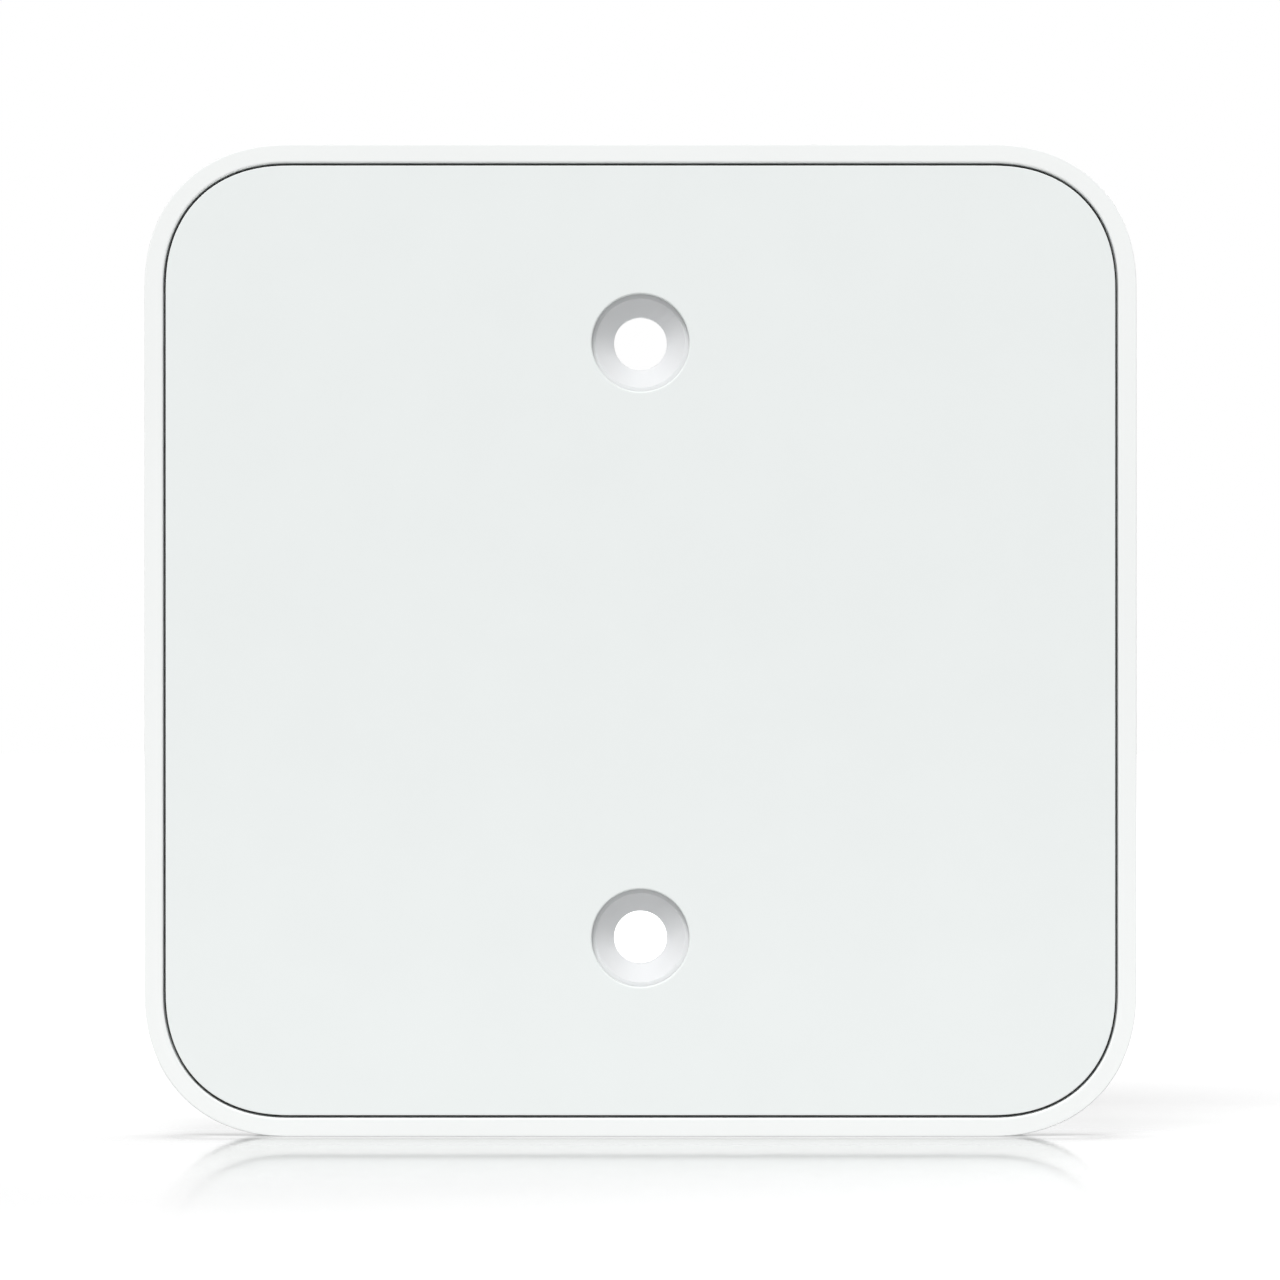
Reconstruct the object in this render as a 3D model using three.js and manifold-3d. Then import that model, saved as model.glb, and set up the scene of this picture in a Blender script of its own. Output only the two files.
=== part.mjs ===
// Magnetic mounting plate that holds a compact access point on a ceiling or a wall.
//
// A square moulded rim with soft corners snaps round a moulded tray, which carries a grip pad on its
// front. Eight disc magnets sit in collars on the tray's back, and a pressed steel back plate closes
// their magnetic circuit, stiffens the tray and bears on the wall. Two countersunk holes in the tray
// take the wall screws.
//
// Frame, in millimetres: +X to the right, +Z up, the front faces -Y. The wall plane is y = 0, and
// the origin is the middle of the back plate's raised pad, which lies on that plane.

import * as THREE from "three";
import { mergeVertices } from "three/addons/utils/BufferGeometryUtils.js";
import Module from "manifold-3d";

const wasm = await Module();
wasm.setup();

// ---- Driving dimensions ----

const DEPTH = 9; // wall plane to the front of the rim
const WALL_GAP = 0.5; // the rim's side wall stops this far from the wall plane

const SEAM_HALF = 48; // half the width of the seam between the rim and the grip pad
const CORNER_REACH = 12.7; // how far a corner's curve runs along each side of the seam
const CORNER_POWER = 2.26; // superellipse exponent of that curve: 2 is a circle, 4 is boxier
const CORNER_STEPS = 9;
const RIM_WIDTH = 2; // seam to the outside of the rim
const SEAM_GAP = 0.22; // width of the open seam
const GROOVE_REACH = 1; // the rim's groove, which holds the tray's edge, measured from the seam
const REAR_REACH = 0.45; // the rim's opening behind that groove, measured from the seam

const PAD_THICKNESS = 1;
const FILM_THICKNESS = 0.2; // adhesive film under the grip pad
const WEB_THICKNESS = 1.2; // the tray's floor, under the film
const SHEET = 1.2; // steel of the back plate
const FLANGE_BACK = 2.8; // wall plane to the back of the back plate's flange
const RIM_CHAMFER = 0.25;
const THIN_CHAMFER = 0.1; // on the grip pad and the back plate

const SCREW_SPACING = 60; // between the two wall screws
const BORE_RADIUS = 2.67; // wall screw clearance
const CONE_RADIUS = 4.5; // mouth of the 90 degree countersink
const PAD_HOLE_RADIUS = 4.9;
const PAD_HOLE_ROUNDING = 0.08;
const BOSS_RADIUS = 6.5;

const MAGNET_RADIUS = 6;
const MAGNET_THICKNESS = 3;
const MAGNET_COLUMN = 36; // x of the two columns of magnets
const MAGNET_ROWS = [36, 12, -12, -36];

const CLEARANCE = 0.02; // between faces that rest on each other
const SLIP = 0.15; // radial play of a piece in its seat
const PLATE_PLAY = 0.4; // between the back plate's edge and the rim's side wall
const OVERRUN = 1; // how far a cutter passes the faces that it opens
const ROOT = 0.5; // how deep a rib, boss or post is rooted in the wall that carries it

// ---- Places that follow from them ----

const FRONT = -DEPTH;
const PAD_BACK = FRONT + PAD_THICKNESS;
const WEB_FRONT = PAD_BACK + FILM_THICKNESS;
const WEB_BACK = WEB_FRONT + WEB_THICKNESS;
const FLANGE_REAR = -FLANGE_BACK;
const FLANGE_FRONT = FLANGE_REAR - SHEET;
const SCREW_HEIGHTS = [SCREW_SPACING / 2, -SCREW_SPACING / 2];

const PLATEAU = { halfWidth: 21, halfHeight: 39, corner: 7 };
const PLATE_SCREWS = [
  [-26, 43.3],
  [26, 43.3],
  [-43.3, 0],
  [43.3, 0],
  [-26, -43.3],
  [26, -43.3],
];
const THREAD_RADIUS = 1.25;
const THREAD_LENGTH = 2.9;
const THREAD_POINT = 0.6; // height of the tapered tip

const STRIP = { x: 33, halfWidth: 6, halfHeight: 38, corner: 2 };

// ---- Materials ----

const finish = (color, roughness, metalness = 0) =>
  new THREE.MeshStandardMaterial({ color, roughness, metalness });

const WHITE_MOULDING = finish(0xf3f5f4, 0.45);
const PALE_SILICONE = finish(0xebefee, 0.6);
const BLACK_FILM = finish(0x1c1e1d, 0.7);
const ZINC_STEEL = finish(0xb9bcbe, 0.35, 1);
const NICKEL = finish(0xc9c6bf, 0.2, 1);
const SCREW_STEEL = finish(0x8f9296, 0.3, 1);
const GREY_FOAM = finish(0x4a4d4e, 0.9);

// ---- Shape helpers ----

// A closed three.js geometry as a manifold-3d solid.
function solid(geometry) {
  geometry.deleteAttribute("normal");
  geometry.deleteAttribute("uv");
  const merged = mergeVertices(geometry, 1e-4);
  return new wasm.Manifold(
    new wasm.Mesh({
      numProp: 3,
      vertProperties: merged.attributes.position.array,
      triVerts: new Uint32Array(merged.index.array),
    }),
  );
}

// A manifold-3d solid as a named three.js mesh.
function piece(name, shape, material) {
  const mesh = shape.getMesh();
  const geometry = new THREE.BufferGeometry();
  geometry.setAttribute("position", new THREE.BufferAttribute(mesh.vertProperties, 3));
  geometry.setIndex(new THREE.BufferAttribute(mesh.triVerts, 1));
  geometry.computeVertexNormals();
  const made = new THREE.Mesh(geometry, material);
  made.name = name;
  return made;
}

const joined = (solids) => solids.reduce((a, b) => a.add(b));

// The seam's outline moved outwards by offset, anticlockwise as (x, z) points.
function seamOutline(offset) {
  const centre = SEAM_HALF - CORNER_REACH;
  const points = [];
  for (let corner = 0; corner < 4; corner++) {
    const turn = (corner * Math.PI) / 2;
    for (let step = 0; step <= CORNER_STEPS; step++) {
      const angle = (step / CORNER_STEPS) * (Math.PI / 2);
      const c = Math.max(Math.cos(angle), 0);
      const s = Math.max(Math.sin(angle), 0);
      const on = new THREE.Vector2(
        centre + CORNER_REACH * c ** (2 / CORNER_POWER),
        centre + CORNER_REACH * s ** (2 / CORNER_POWER),
      );
      const normal = new THREE.Vector2(
        c ** (2 - 2 / CORNER_POWER),
        s ** (2 - 2 / CORNER_POWER),
      ).normalize();
      points.push(on.addScaledVector(normal, offset).rotateAround(new THREE.Vector2(), turn));
    }
  }
  return points;
}

// A rectangle with round corners about (x, z), anticlockwise.
function roundedRectangle({ x = 0, z = 0, halfWidth, halfHeight, corner }, grow = 0, steps = 4) {
  const points = [];
  const signs = [
    [1, 1],
    [-1, 1],
    [-1, -1],
    [1, -1],
  ];
  signs.forEach(([signX, signZ], index) => {
    for (let step = 0; step <= steps; step++) {
      const angle = ((index + step / steps) * Math.PI) / 2;
      points.push(
        new THREE.Vector2(
          x + signX * (halfWidth - corner) + (corner + grow) * Math.cos(angle),
          z + signZ * (halfHeight - corner) + (corner + grow) * Math.sin(angle),
        ),
      );
    }
  });
  return points;
}

// A solid skinned over outlines of equal length, each [y, points], from the front to the back.
function loft(sections) {
  const count = sections[0][1].length;
  const positions = sections.flatMap(([y, outline]) => outline.flatMap((p) => [p.x, y, p.y]));
  const triangles = [];
  for (let ring = 0; ring + 1 < sections.length; ring++) {
    for (let i = 0; i < count; i++) {
      const front = ring * count + i;
      const frontNext = ring * count + ((i + 1) % count);
      triangles.push(front, front + count, frontNext);
      triangles.push(frontNext, front + count, frontNext + count);
    }
  }
  const last = (sections.length - 1) * count;
  for (const [a, b, c] of THREE.ShapeUtils.triangulateShape(sections[0][1], [])) {
    triangles.push(a, b, c);
  }
  for (const [a, b, c] of THREE.ShapeUtils.triangulateShape(sections.at(-1)[1], [])) {
    triangles.push(last + c, last + b, last + a);
  }
  const geometry = new THREE.BufferGeometry();
  geometry.setAttribute("position", new THREE.Float32BufferAttribute(positions, 3));
  geometry.setIndex(triangles);
  return solid(geometry);
}

// A slab inside the seam's outline moved out by offset, with its two edges chamfered.
function seamSlab(offset, front, back, chamfer = 0) {
  if (!chamfer) return loft([[front, seamOutline(offset)], [back, seamOutline(offset)]]);
  return loft([
    [front, seamOutline(offset - chamfer)],
    [front + chamfer, seamOutline(offset)],
    [back - chamfer, seamOutline(offset)],
    [back, seamOutline(offset - chamfer)],
  ]);
}

// A solid of revolution about an axis along Y, from [radius, y] pairs that run from front to back.
function turned(profile, x, z, segments = 28) {
  const points = profile.map(([radius, y]) => new THREE.Vector2(radius, y));
  return solid(new THREE.LatheGeometry(points, segments)).translate([x, 0, z]);
}

function cylinder(radius, front, back, x, z, segments) {
  const profile = [
    [0, front],
    [radius, front],
    [radius, back],
    [0, back],
  ];
  return turned(profile, x, z, segments);
}

function box(width, height, front, back, x, z) {
  const geometry = new THREE.BoxGeometry(width, back - front, height);
  return solid(geometry.translate(x, (front + back) / 2, z));
}

// ---- Rim: the frame that shows round the grip pad, with the side wall ----

function rimFrame() {
  return seamSlab(RIM_WIDTH, FRONT, -WALL_GAP, RIM_CHAMFER)
    .subtract(seamSlab(SEAM_GAP / 2, FRONT - OVERRUN, WEB_FRONT))
    .subtract(seamSlab(GROOVE_REACH, WEB_FRONT - CLEARANCE, WEB_BACK + CLEARANCE))
    .subtract(seamSlab(REAR_REACH, WEB_BACK, OVERRUN));
}

// ---- Tray: floor, screw bosses, magnet collars, screw posts and ribs ----

const COLLAR_WALL = 1.2;
const COLLAR_BACK = FLANGE_FRONT - SLIP;
const MAGNET_FRONT = FLANGE_FRONT - CLEARANCE - MAGNET_THICKNESS;
const POST_RADIUS = 2.9;
const BOSS_BACK = -SHEET - CLEARANCE;
const PILOT_SPARE = 0.5; // free depth under a plate screw's tip
const RIB = 1;
const RIB_COLUMNS = [-21, 0, 21];
const RIB_ROWS = [-SCREW_SPACING / 2, 0, SCREW_SPACING / 2];

function tray() {
  const floor = seamSlab(GROOVE_REACH - SLIP, WEB_FRONT, WEB_BACK);
  const rooted = WEB_BACK - ROOT;
  const across = 2 * (SEAM_HALF + REAR_REACH - SLIP);
  const ribs = [
    ...RIB_COLUMNS.map((x) => box(RIB, across, rooted, COLLAR_BACK, x, 0)),
    ...RIB_ROWS.map((z) => box(across, RIB, rooted, COLLAR_BACK, 0, z)),
  ];
  const bosses = SCREW_HEIGHTS.map((z) => cylinder(BOSS_RADIUS, rooted, BOSS_BACK, 0, z, 32));
  const posts = PLATE_SCREWS.map(([x, z]) =>
    cylinder(POST_RADIUS, rooted, FLANGE_FRONT - CLEARANCE, x, z, 20),
  );
  const collars = magnetPlaces().map(([x, z]) =>
    cylinder(MAGNET_RADIUS + SLIP + COLLAR_WALL, rooted, COLLAR_BACK, x, z),
  );

  const pockets = magnetPlaces().map(([x, z]) =>
    cylinder(MAGNET_RADIUS + SLIP, MAGNET_FRONT - CLEARANCE, 0, x, z),
  );
  const pilots = PLATE_SCREWS.map(([x, z]) =>
    cylinder(THREAD_RADIUS + SLIP, FLANGE_REAR - THREAD_LENGTH - PILOT_SPARE, 0, x, z, 16),
  );
  const countersinks = SCREW_HEIGHTS.map((z) => {
    const straight = WEB_FRONT + (CONE_RADIUS - BORE_RADIUS);
    const profile = [
      [0, WEB_FRONT - OVERRUN],
      [CONE_RADIUS, WEB_FRONT - OVERRUN],
      [CONE_RADIUS, WEB_FRONT],
      [BORE_RADIUS, straight],
      [BORE_RADIUS, OVERRUN],
      [0, OVERRUN],
    ];
    return turned(profile, 0, z, 40);
  });
  return joined([floor, ...ribs, ...bosses, ...posts, ...collars]).subtract(
    joined([...pockets, ...pilots, ...countersinks]),
  );
}

// ---- Front: grip pad and its adhesive film ----

const FILM_REACH = 0.05; // the film's edge lies this far past the middle of the seam
const FILM_HOLE_MARGIN = 0.3;

function gripPad() {
  const slab = seamSlab(-SEAM_GAP / 2, FRONT, PAD_BACK - CLEARANCE, THIN_CHAMFER);
  const rounding = [0, 30, 60, 90].map((degrees) => {
    const angle = THREE.MathUtils.degToRad(degrees);
    return [
      PAD_HOLE_RADIUS + PAD_HOLE_ROUNDING * (1 - Math.sin(angle)),
      FRONT + PAD_HOLE_ROUNDING * (1 - Math.cos(angle)),
    ];
  });
  const holes = SCREW_HEIGHTS.map((z) => {
    const profile = [
      [0, FRONT - OVERRUN],
      [PAD_HOLE_RADIUS + PAD_HOLE_ROUNDING, FRONT - OVERRUN],
      ...rounding,
      [PAD_HOLE_RADIUS, PAD_BACK + OVERRUN],
      [0, PAD_BACK + OVERRUN],
    ];
    return turned(profile, 0, z, 40);
  });
  return slab.subtract(joined(holes));
}

function padFilm() {
  const film = seamSlab(FILM_REACH, PAD_BACK, WEB_FRONT - CLEARANCE);
  const radius = PAD_HOLE_RADIUS + FILM_HOLE_MARGIN;
  const holes = SCREW_HEIGHTS.map((z) =>
    cylinder(radius, PAD_BACK - OVERRUN, WEB_FRONT + OVERRUN, 0, z, 32),
  );
  return film.subtract(joined(holes));
}

// ---- Magnets ----

function magnetPlaces() {
  return [-MAGNET_COLUMN, MAGNET_COLUMN].flatMap((x) => MAGNET_ROWS.map((z) => [x, z]));
}

const MAGNET_CHAMFER = 0.3;

function magnet(x, z) {
  const edge = MAGNET_CHAMFER;
  const back = MAGNET_FRONT + MAGNET_THICKNESS;
  const profile = [
    [0, MAGNET_FRONT],
    [MAGNET_RADIUS - edge, MAGNET_FRONT],
    [MAGNET_RADIUS, MAGNET_FRONT + edge],
    [MAGNET_RADIUS, back - edge],
    [MAGNET_RADIUS - edge, back],
    [0, back],
  ];
  return turned(profile, x, z);
}

// ---- Back plate: a flange with a raised pad that bears on the wall ----

const WALL_HOLE_PLAY = 0.2; // radial, round the tray's bore
const SCREW_HOLE_PLAY = 0.25; // radial, round a plate screw's thread
const SLOPE_SHEET = 0.55 * SHEET; // how far the raised pad's inner edge lies inside its outer one

function backPlate() {
  const slope = FLANGE_BACK; // the raised pad's sides rise at 45 degrees
  const flange = seamSlab(REAR_REACH - PLATE_PLAY, FLANGE_FRONT, FLANGE_REAR, THIN_CHAMFER);
  const raised = loft([
    [FLANGE_FRONT, roundedRectangle(PLATEAU, slope)],
    [FLANGE_REAR, roundedRectangle(PLATEAU, slope)],
    [0, roundedRectangle(PLATEAU)],
  ]);
  const hollow = loft([
    [FLANGE_FRONT - OVERRUN, roundedRectangle(PLATEAU, slope - SLOPE_SHEET)],
    [FLANGE_FRONT, roundedRectangle(PLATEAU, slope - SLOPE_SHEET)],
    [-SHEET, roundedRectangle(PLATEAU, -SLOPE_SHEET)],
  ]);
  const wallHoles = SCREW_HEIGHTS.map((z) =>
    cylinder(BORE_RADIUS + WALL_HOLE_PLAY, -SHEET - OVERRUN, OVERRUN, 0, z, 32),
  );
  const screwRadius = THREAD_RADIUS + SCREW_HOLE_PLAY;
  const screwHoles = PLATE_SCREWS.map(([x, z]) =>
    cylinder(screwRadius, FLANGE_FRONT - OVERRUN, FLANGE_REAR + OVERRUN, x, z, 20),
  );
  return flange.add(raised).subtract(joined([hollow, ...wallHoles, ...screwHoles]));
}

// ---- Screws that hold the back plate to the tray ----

const HEAD_RADIUS = 2.3;
const HEAD_RIM = 0.6; // straight side of the pan head
const HEAD_DOME = 0.9;
const RECESS = { length: 2.4, width: 0.6, depth: 0.9 };

function plateScrew(x, z) {
  const seat = FLANGE_REAR + CLEARANCE;
  const tip = FLANGE_REAR - THREAD_LENGTH;
  const top = seat + HEAD_RIM + HEAD_DOME;
  const dome = [0, 30, 60, 90].map((degrees) => {
    const angle = THREE.MathUtils.degToRad(degrees);
    return [
      degrees < 90 ? HEAD_RADIUS * Math.cos(angle) : 0,
      seat + HEAD_RIM + HEAD_DOME * Math.sin(angle),
    ];
  });
  const profile = [
    [0, tip],
    [THREAD_RADIUS / 2, tip],
    [THREAD_RADIUS, tip + THREAD_POINT],
    [THREAD_RADIUS, seat],
    [HEAD_RADIUS, seat],
    ...dome,
  ];
  const floor = top - RECESS.depth;
  return turned(profile, x, z, 20)
    .subtract(box(RECESS.length, RECESS.width, floor, top + OVERRUN, x, z))
    .subtract(box(RECESS.width, RECESS.length, floor, top + OVERRUN, x, z));
}

// ---- Foam strips that steady the plate's sides on the wall ----

function wallStrip(side) {
  const outline = roundedRectangle({ ...STRIP, x: side * STRIP.x }, 0, 3);
  return loft([[FLANGE_REAR + CLEARANCE, outline], [0, outline]]);
}

// ---- Assembly ----

const mount = new THREE.Group();
mount.add(piece("rim_frame", rimFrame(), WHITE_MOULDING));
mount.add(piece("magnet_tray", tray(), WHITE_MOULDING));
mount.add(piece("grip_pad", gripPad(), PALE_SILICONE));
mount.add(piece("pad_film", padFilm(), BLACK_FILM));
mount.add(piece("back_plate", backPlate(), ZINC_STEEL));
magnetPlaces().forEach(([x, z], index) => {
  mount.add(piece(`magnet_${index + 1}`, magnet(x, z), NICKEL));
});
PLATE_SCREWS.forEach(([x, z], index) => {
  mount.add(piece(`plate_screw_${index + 1}`, plateScrew(x, z), SCREW_STEEL));
});
mount.add(piece("wall_strip_left", wallStrip(-1), GREY_FOAM));
mount.add(piece("wall_strip_right", wallStrip(1), GREY_FOAM));

export default mount;
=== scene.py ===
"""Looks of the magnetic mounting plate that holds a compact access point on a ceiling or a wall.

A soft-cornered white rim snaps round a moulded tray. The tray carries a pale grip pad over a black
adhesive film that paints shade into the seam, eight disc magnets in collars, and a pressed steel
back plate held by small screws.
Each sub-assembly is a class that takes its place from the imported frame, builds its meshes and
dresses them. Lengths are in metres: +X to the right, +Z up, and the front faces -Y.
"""

from __future__ import annotations

import logging
import math
from collections.abc import Callable, Iterable, Sequence
from dataclasses import dataclass, field
from enum import Enum
from functools import cache

import bmesh
import bpy
from mathutils import Matrix, Vector


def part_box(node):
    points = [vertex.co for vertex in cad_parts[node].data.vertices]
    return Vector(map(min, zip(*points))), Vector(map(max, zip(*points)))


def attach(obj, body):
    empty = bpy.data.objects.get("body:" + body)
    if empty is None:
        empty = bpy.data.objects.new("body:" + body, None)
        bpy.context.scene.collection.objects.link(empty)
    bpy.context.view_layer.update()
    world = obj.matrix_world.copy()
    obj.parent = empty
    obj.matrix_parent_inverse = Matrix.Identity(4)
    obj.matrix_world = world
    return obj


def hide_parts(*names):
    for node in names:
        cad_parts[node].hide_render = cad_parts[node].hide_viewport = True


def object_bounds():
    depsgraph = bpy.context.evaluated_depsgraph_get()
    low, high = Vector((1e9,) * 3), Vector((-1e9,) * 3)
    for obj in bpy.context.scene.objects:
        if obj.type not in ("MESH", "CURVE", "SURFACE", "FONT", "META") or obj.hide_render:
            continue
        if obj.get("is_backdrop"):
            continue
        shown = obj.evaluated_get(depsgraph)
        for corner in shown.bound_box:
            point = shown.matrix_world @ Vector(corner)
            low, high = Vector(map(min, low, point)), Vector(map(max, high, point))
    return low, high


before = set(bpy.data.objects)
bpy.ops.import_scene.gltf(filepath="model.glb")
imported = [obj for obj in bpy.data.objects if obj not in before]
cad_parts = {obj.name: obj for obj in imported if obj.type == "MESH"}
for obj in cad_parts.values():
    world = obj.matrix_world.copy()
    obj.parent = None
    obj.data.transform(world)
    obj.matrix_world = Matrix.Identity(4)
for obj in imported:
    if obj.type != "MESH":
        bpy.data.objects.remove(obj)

MM = 0.001
SUPPORT = 0.05 * MM  # how far from a fillet the flat beside it has its support point
SAME_PLACE = 1e-7  # vertices nearer than this are merged
BODY = "root"
LOG = logging.getLogger("mounting_plate")

Point = tuple[float, float]
Outline = list[Point]
Colour = tuple[float, float, float]
Ring = list[bmesh.types.BMVert]
Socket = bpy.types.NodeSocket


class Slot(Enum):
    """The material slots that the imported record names."""

    WHITE_MOULDING = "white_moulding"
    PALE_SILICONE = "pale_silicone"
    BLACK_FILM = "black_film"
    ZINC_STEEL = "zinc_steel"
    NICKEL = "nickel"
    SCREW_STEEL = "screw_steel"
    GREY_FOAM = "grey_foam"


class Side(Enum):
    """The two sides of the plate, seen from the front."""

    LEFT = "left"
    RIGHT = "right"


class Cut(Enum):
    """How one solid is combined with another."""

    JOIN = "UNION"
    REMOVE = "DIFFERENCE"


# ---- Outlines and sections ----


@dataclass(frozen=True)
class SoftSquare:
    """A square whose corners are superellipse curves.

    Attributes:
        half: Half the square's width.
        reach: How far a corner's curve runs along each side.
        power: The curve's exponent: 2 is a circle, 4 is boxier.
        steps: Steps in each corner.
    """

    half: float
    reach: float = 12.7 * MM
    power: float = 2.26
    steps: int = 28

    def outline(self, offset: float) -> Outline:
        """Moves the square's outline outwards.

        Args:
            offset: The distance, measured square to the outline.

        Returns:
            The (x, z) points, anticlockwise.
        """
        centre = self.half - self.reach
        points = []
        for corner in range(4):
            turn = Matrix.Rotation(corner * math.pi / 2, 2)
            for step in range(self.steps + 1):
                angle = step / self.steps * math.pi / 2
                pair = (max(math.cos(angle), 0.0), max(math.sin(angle), 0.0))
                on = Vector([centre + self.reach * value ** (2 / self.power) for value in pair])
                outwards = Vector([value ** (2 - 2 / self.power) for value in pair]).normalized()
                placed = turn @ (on + outwards * offset)
                points.append((placed.x, placed.y))
        return points


@dataclass(frozen=True)
class RoundRectangle:
    """A rectangle with round corners.

    Attributes:
        half_width: Half its size along X.
        half_height: Half its size along Z.
        corner: Radius of its corners.
        x: Where its middle lies.
        steps: Steps in each corner.
    """

    half_width: float
    half_height: float
    corner: float
    x: float = 0.0
    steps: int = 12

    def outline(self, grow: float = 0.0) -> Outline:
        """Moves the rectangle's outline outwards.

        Args:
            grow: The distance, measured square to the outline.

        Returns:
            The (x, z) points, anticlockwise.
        """
        points = []
        for index, (sign_x, sign_z) in enumerate(((1, 1), (-1, 1), (-1, -1), (1, -1))):
            for step in range(self.steps + 1):
                angle = (index + step / self.steps) * math.pi / 2
                radius = self.corner + grow
                x = self.x + sign_x * (self.half_width - self.corner) + radius * math.cos(angle)
                z = sign_z * (self.half_height - self.corner) + radius * math.sin(angle)
                points.append((x, z))
        return points


def circle(radius: float, place: Point = (0.0, 0.0), segments: int = 72) -> Outline:
    """Makes a circle.

    Args:
        radius: Its radius.
        place: The (x, z) of its middle.
        segments: Its sides.

    Returns:
        The (x, z) points, anticlockwise.
    """
    angles = [2 * math.pi * step / segments for step in range(segments)]
    return [(place[0] + radius * math.cos(a), place[1] + radius * math.sin(a)) for a in angles]


def filleted(
    corners: Sequence[tuple[float, float, float]], closed: bool = False, steps: int = 6
) -> list[Point]:
    """Rounds the corners of a section, with a support point on the flat either side of each.

    Args:
        corners: Each corner as (across, depth, radius), where radius 0 keeps it sharp.
        closed: Whether the section's last corner joins its first.
        steps: Steps in each fillet.

    Returns:
        The section's points, in the corners' order.
    """
    points: list[Point] = []
    count = len(corners)
    for index, (u, v, radius) in enumerate(corners):
        is_end = not closed and index in (0, count - 1)
        if radius == 0 or is_end:
            points.append((u, v))
            continue
        here = Vector((u, v))
        before = (Vector(corners[index - 1][:2]) - here).normalized()
        after = (Vector(corners[(index + 1) % count][:2]) - here).normalized()
        half = before.angle(after) / 2
        setback = radius / math.tan(half)
        middle = here + (before + after).normalized() * radius / math.sin(half)
        start = here + before * setback - middle
        end = here + after * setback - middle
        turn = start.angle_signed(end)
        points.append(tuple(here + before * (setback + SUPPORT)))
        for step in range(steps + 1):
            swing = Matrix.Rotation(-turn * step / steps, 2)
            points.append(tuple(middle + swing @ start))
        points.append(tuple(here + after * (setback + SUPPORT)))
    return points


def edge_section(
    front: float, back: float, reach: float, front_radius: float, back_radius: float, steps: int = 6
) -> list[Point]:
    """Makes the section of a sheet's edge: its front face, its side and its back face.

    Args:
        front: Depth of the front face.
        back: Depth of the back face.
        reach: How far both faces run across from the side, which is at 0.
        front_radius: Radius of the fillet between the front face and the side.
        back_radius: Radius of the fillet between the side and the back face.
        steps: Steps in each fillet.

    Returns:
        The section's points, from the front to the back.
    """
    corners = [(reach, front, 0), (0, front, front_radius), (0, back, back_radius), (reach, back, 0)]
    return filleted(corners, steps=steps)


# ---- Mesh work ----


def clean(mesh: bmesh.types.BMesh) -> None:
    """Merges vertices that lie in the same place, and turns the faces outwards."""
    bmesh.ops.remove_doubles(mesh, verts=mesh.verts, dist=SAME_PLACE)
    bmesh.ops.recalc_face_normals(mesh, faces=mesh.faces)


def put_in_scene(name: str, data: bpy.types.ID) -> bpy.types.Object:
    """Makes an object and puts it in the scene.

    Args:
        name: The object's name.
        data: Its mesh, camera or light.

    Returns:
        The object, at the origin.
    """
    made = bpy.data.objects.new(name, data)
    bpy.context.scene.collection.objects.link(made)
    return made


def mesh_object(
    name: str,
    points: Sequence[tuple[float, float, float]],
    edges: Sequence[tuple[int, int]] = (),
    faces: Sequence[tuple[int, ...]] = (),
) -> bpy.types.Object:
    """Makes an object from lists of points, edges and faces.

    Args:
        name: The object's name.
        points: The vertices.
        edges: The edges, as pairs of vertices' numbers.
        faces: The faces, as rings of vertices' numbers.

    Returns:
        The object, at the origin.
    """
    data = bpy.data.meshes.new(name)
    data.from_pydata(points, edges, faces)
    return put_in_scene(name, data)


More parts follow.
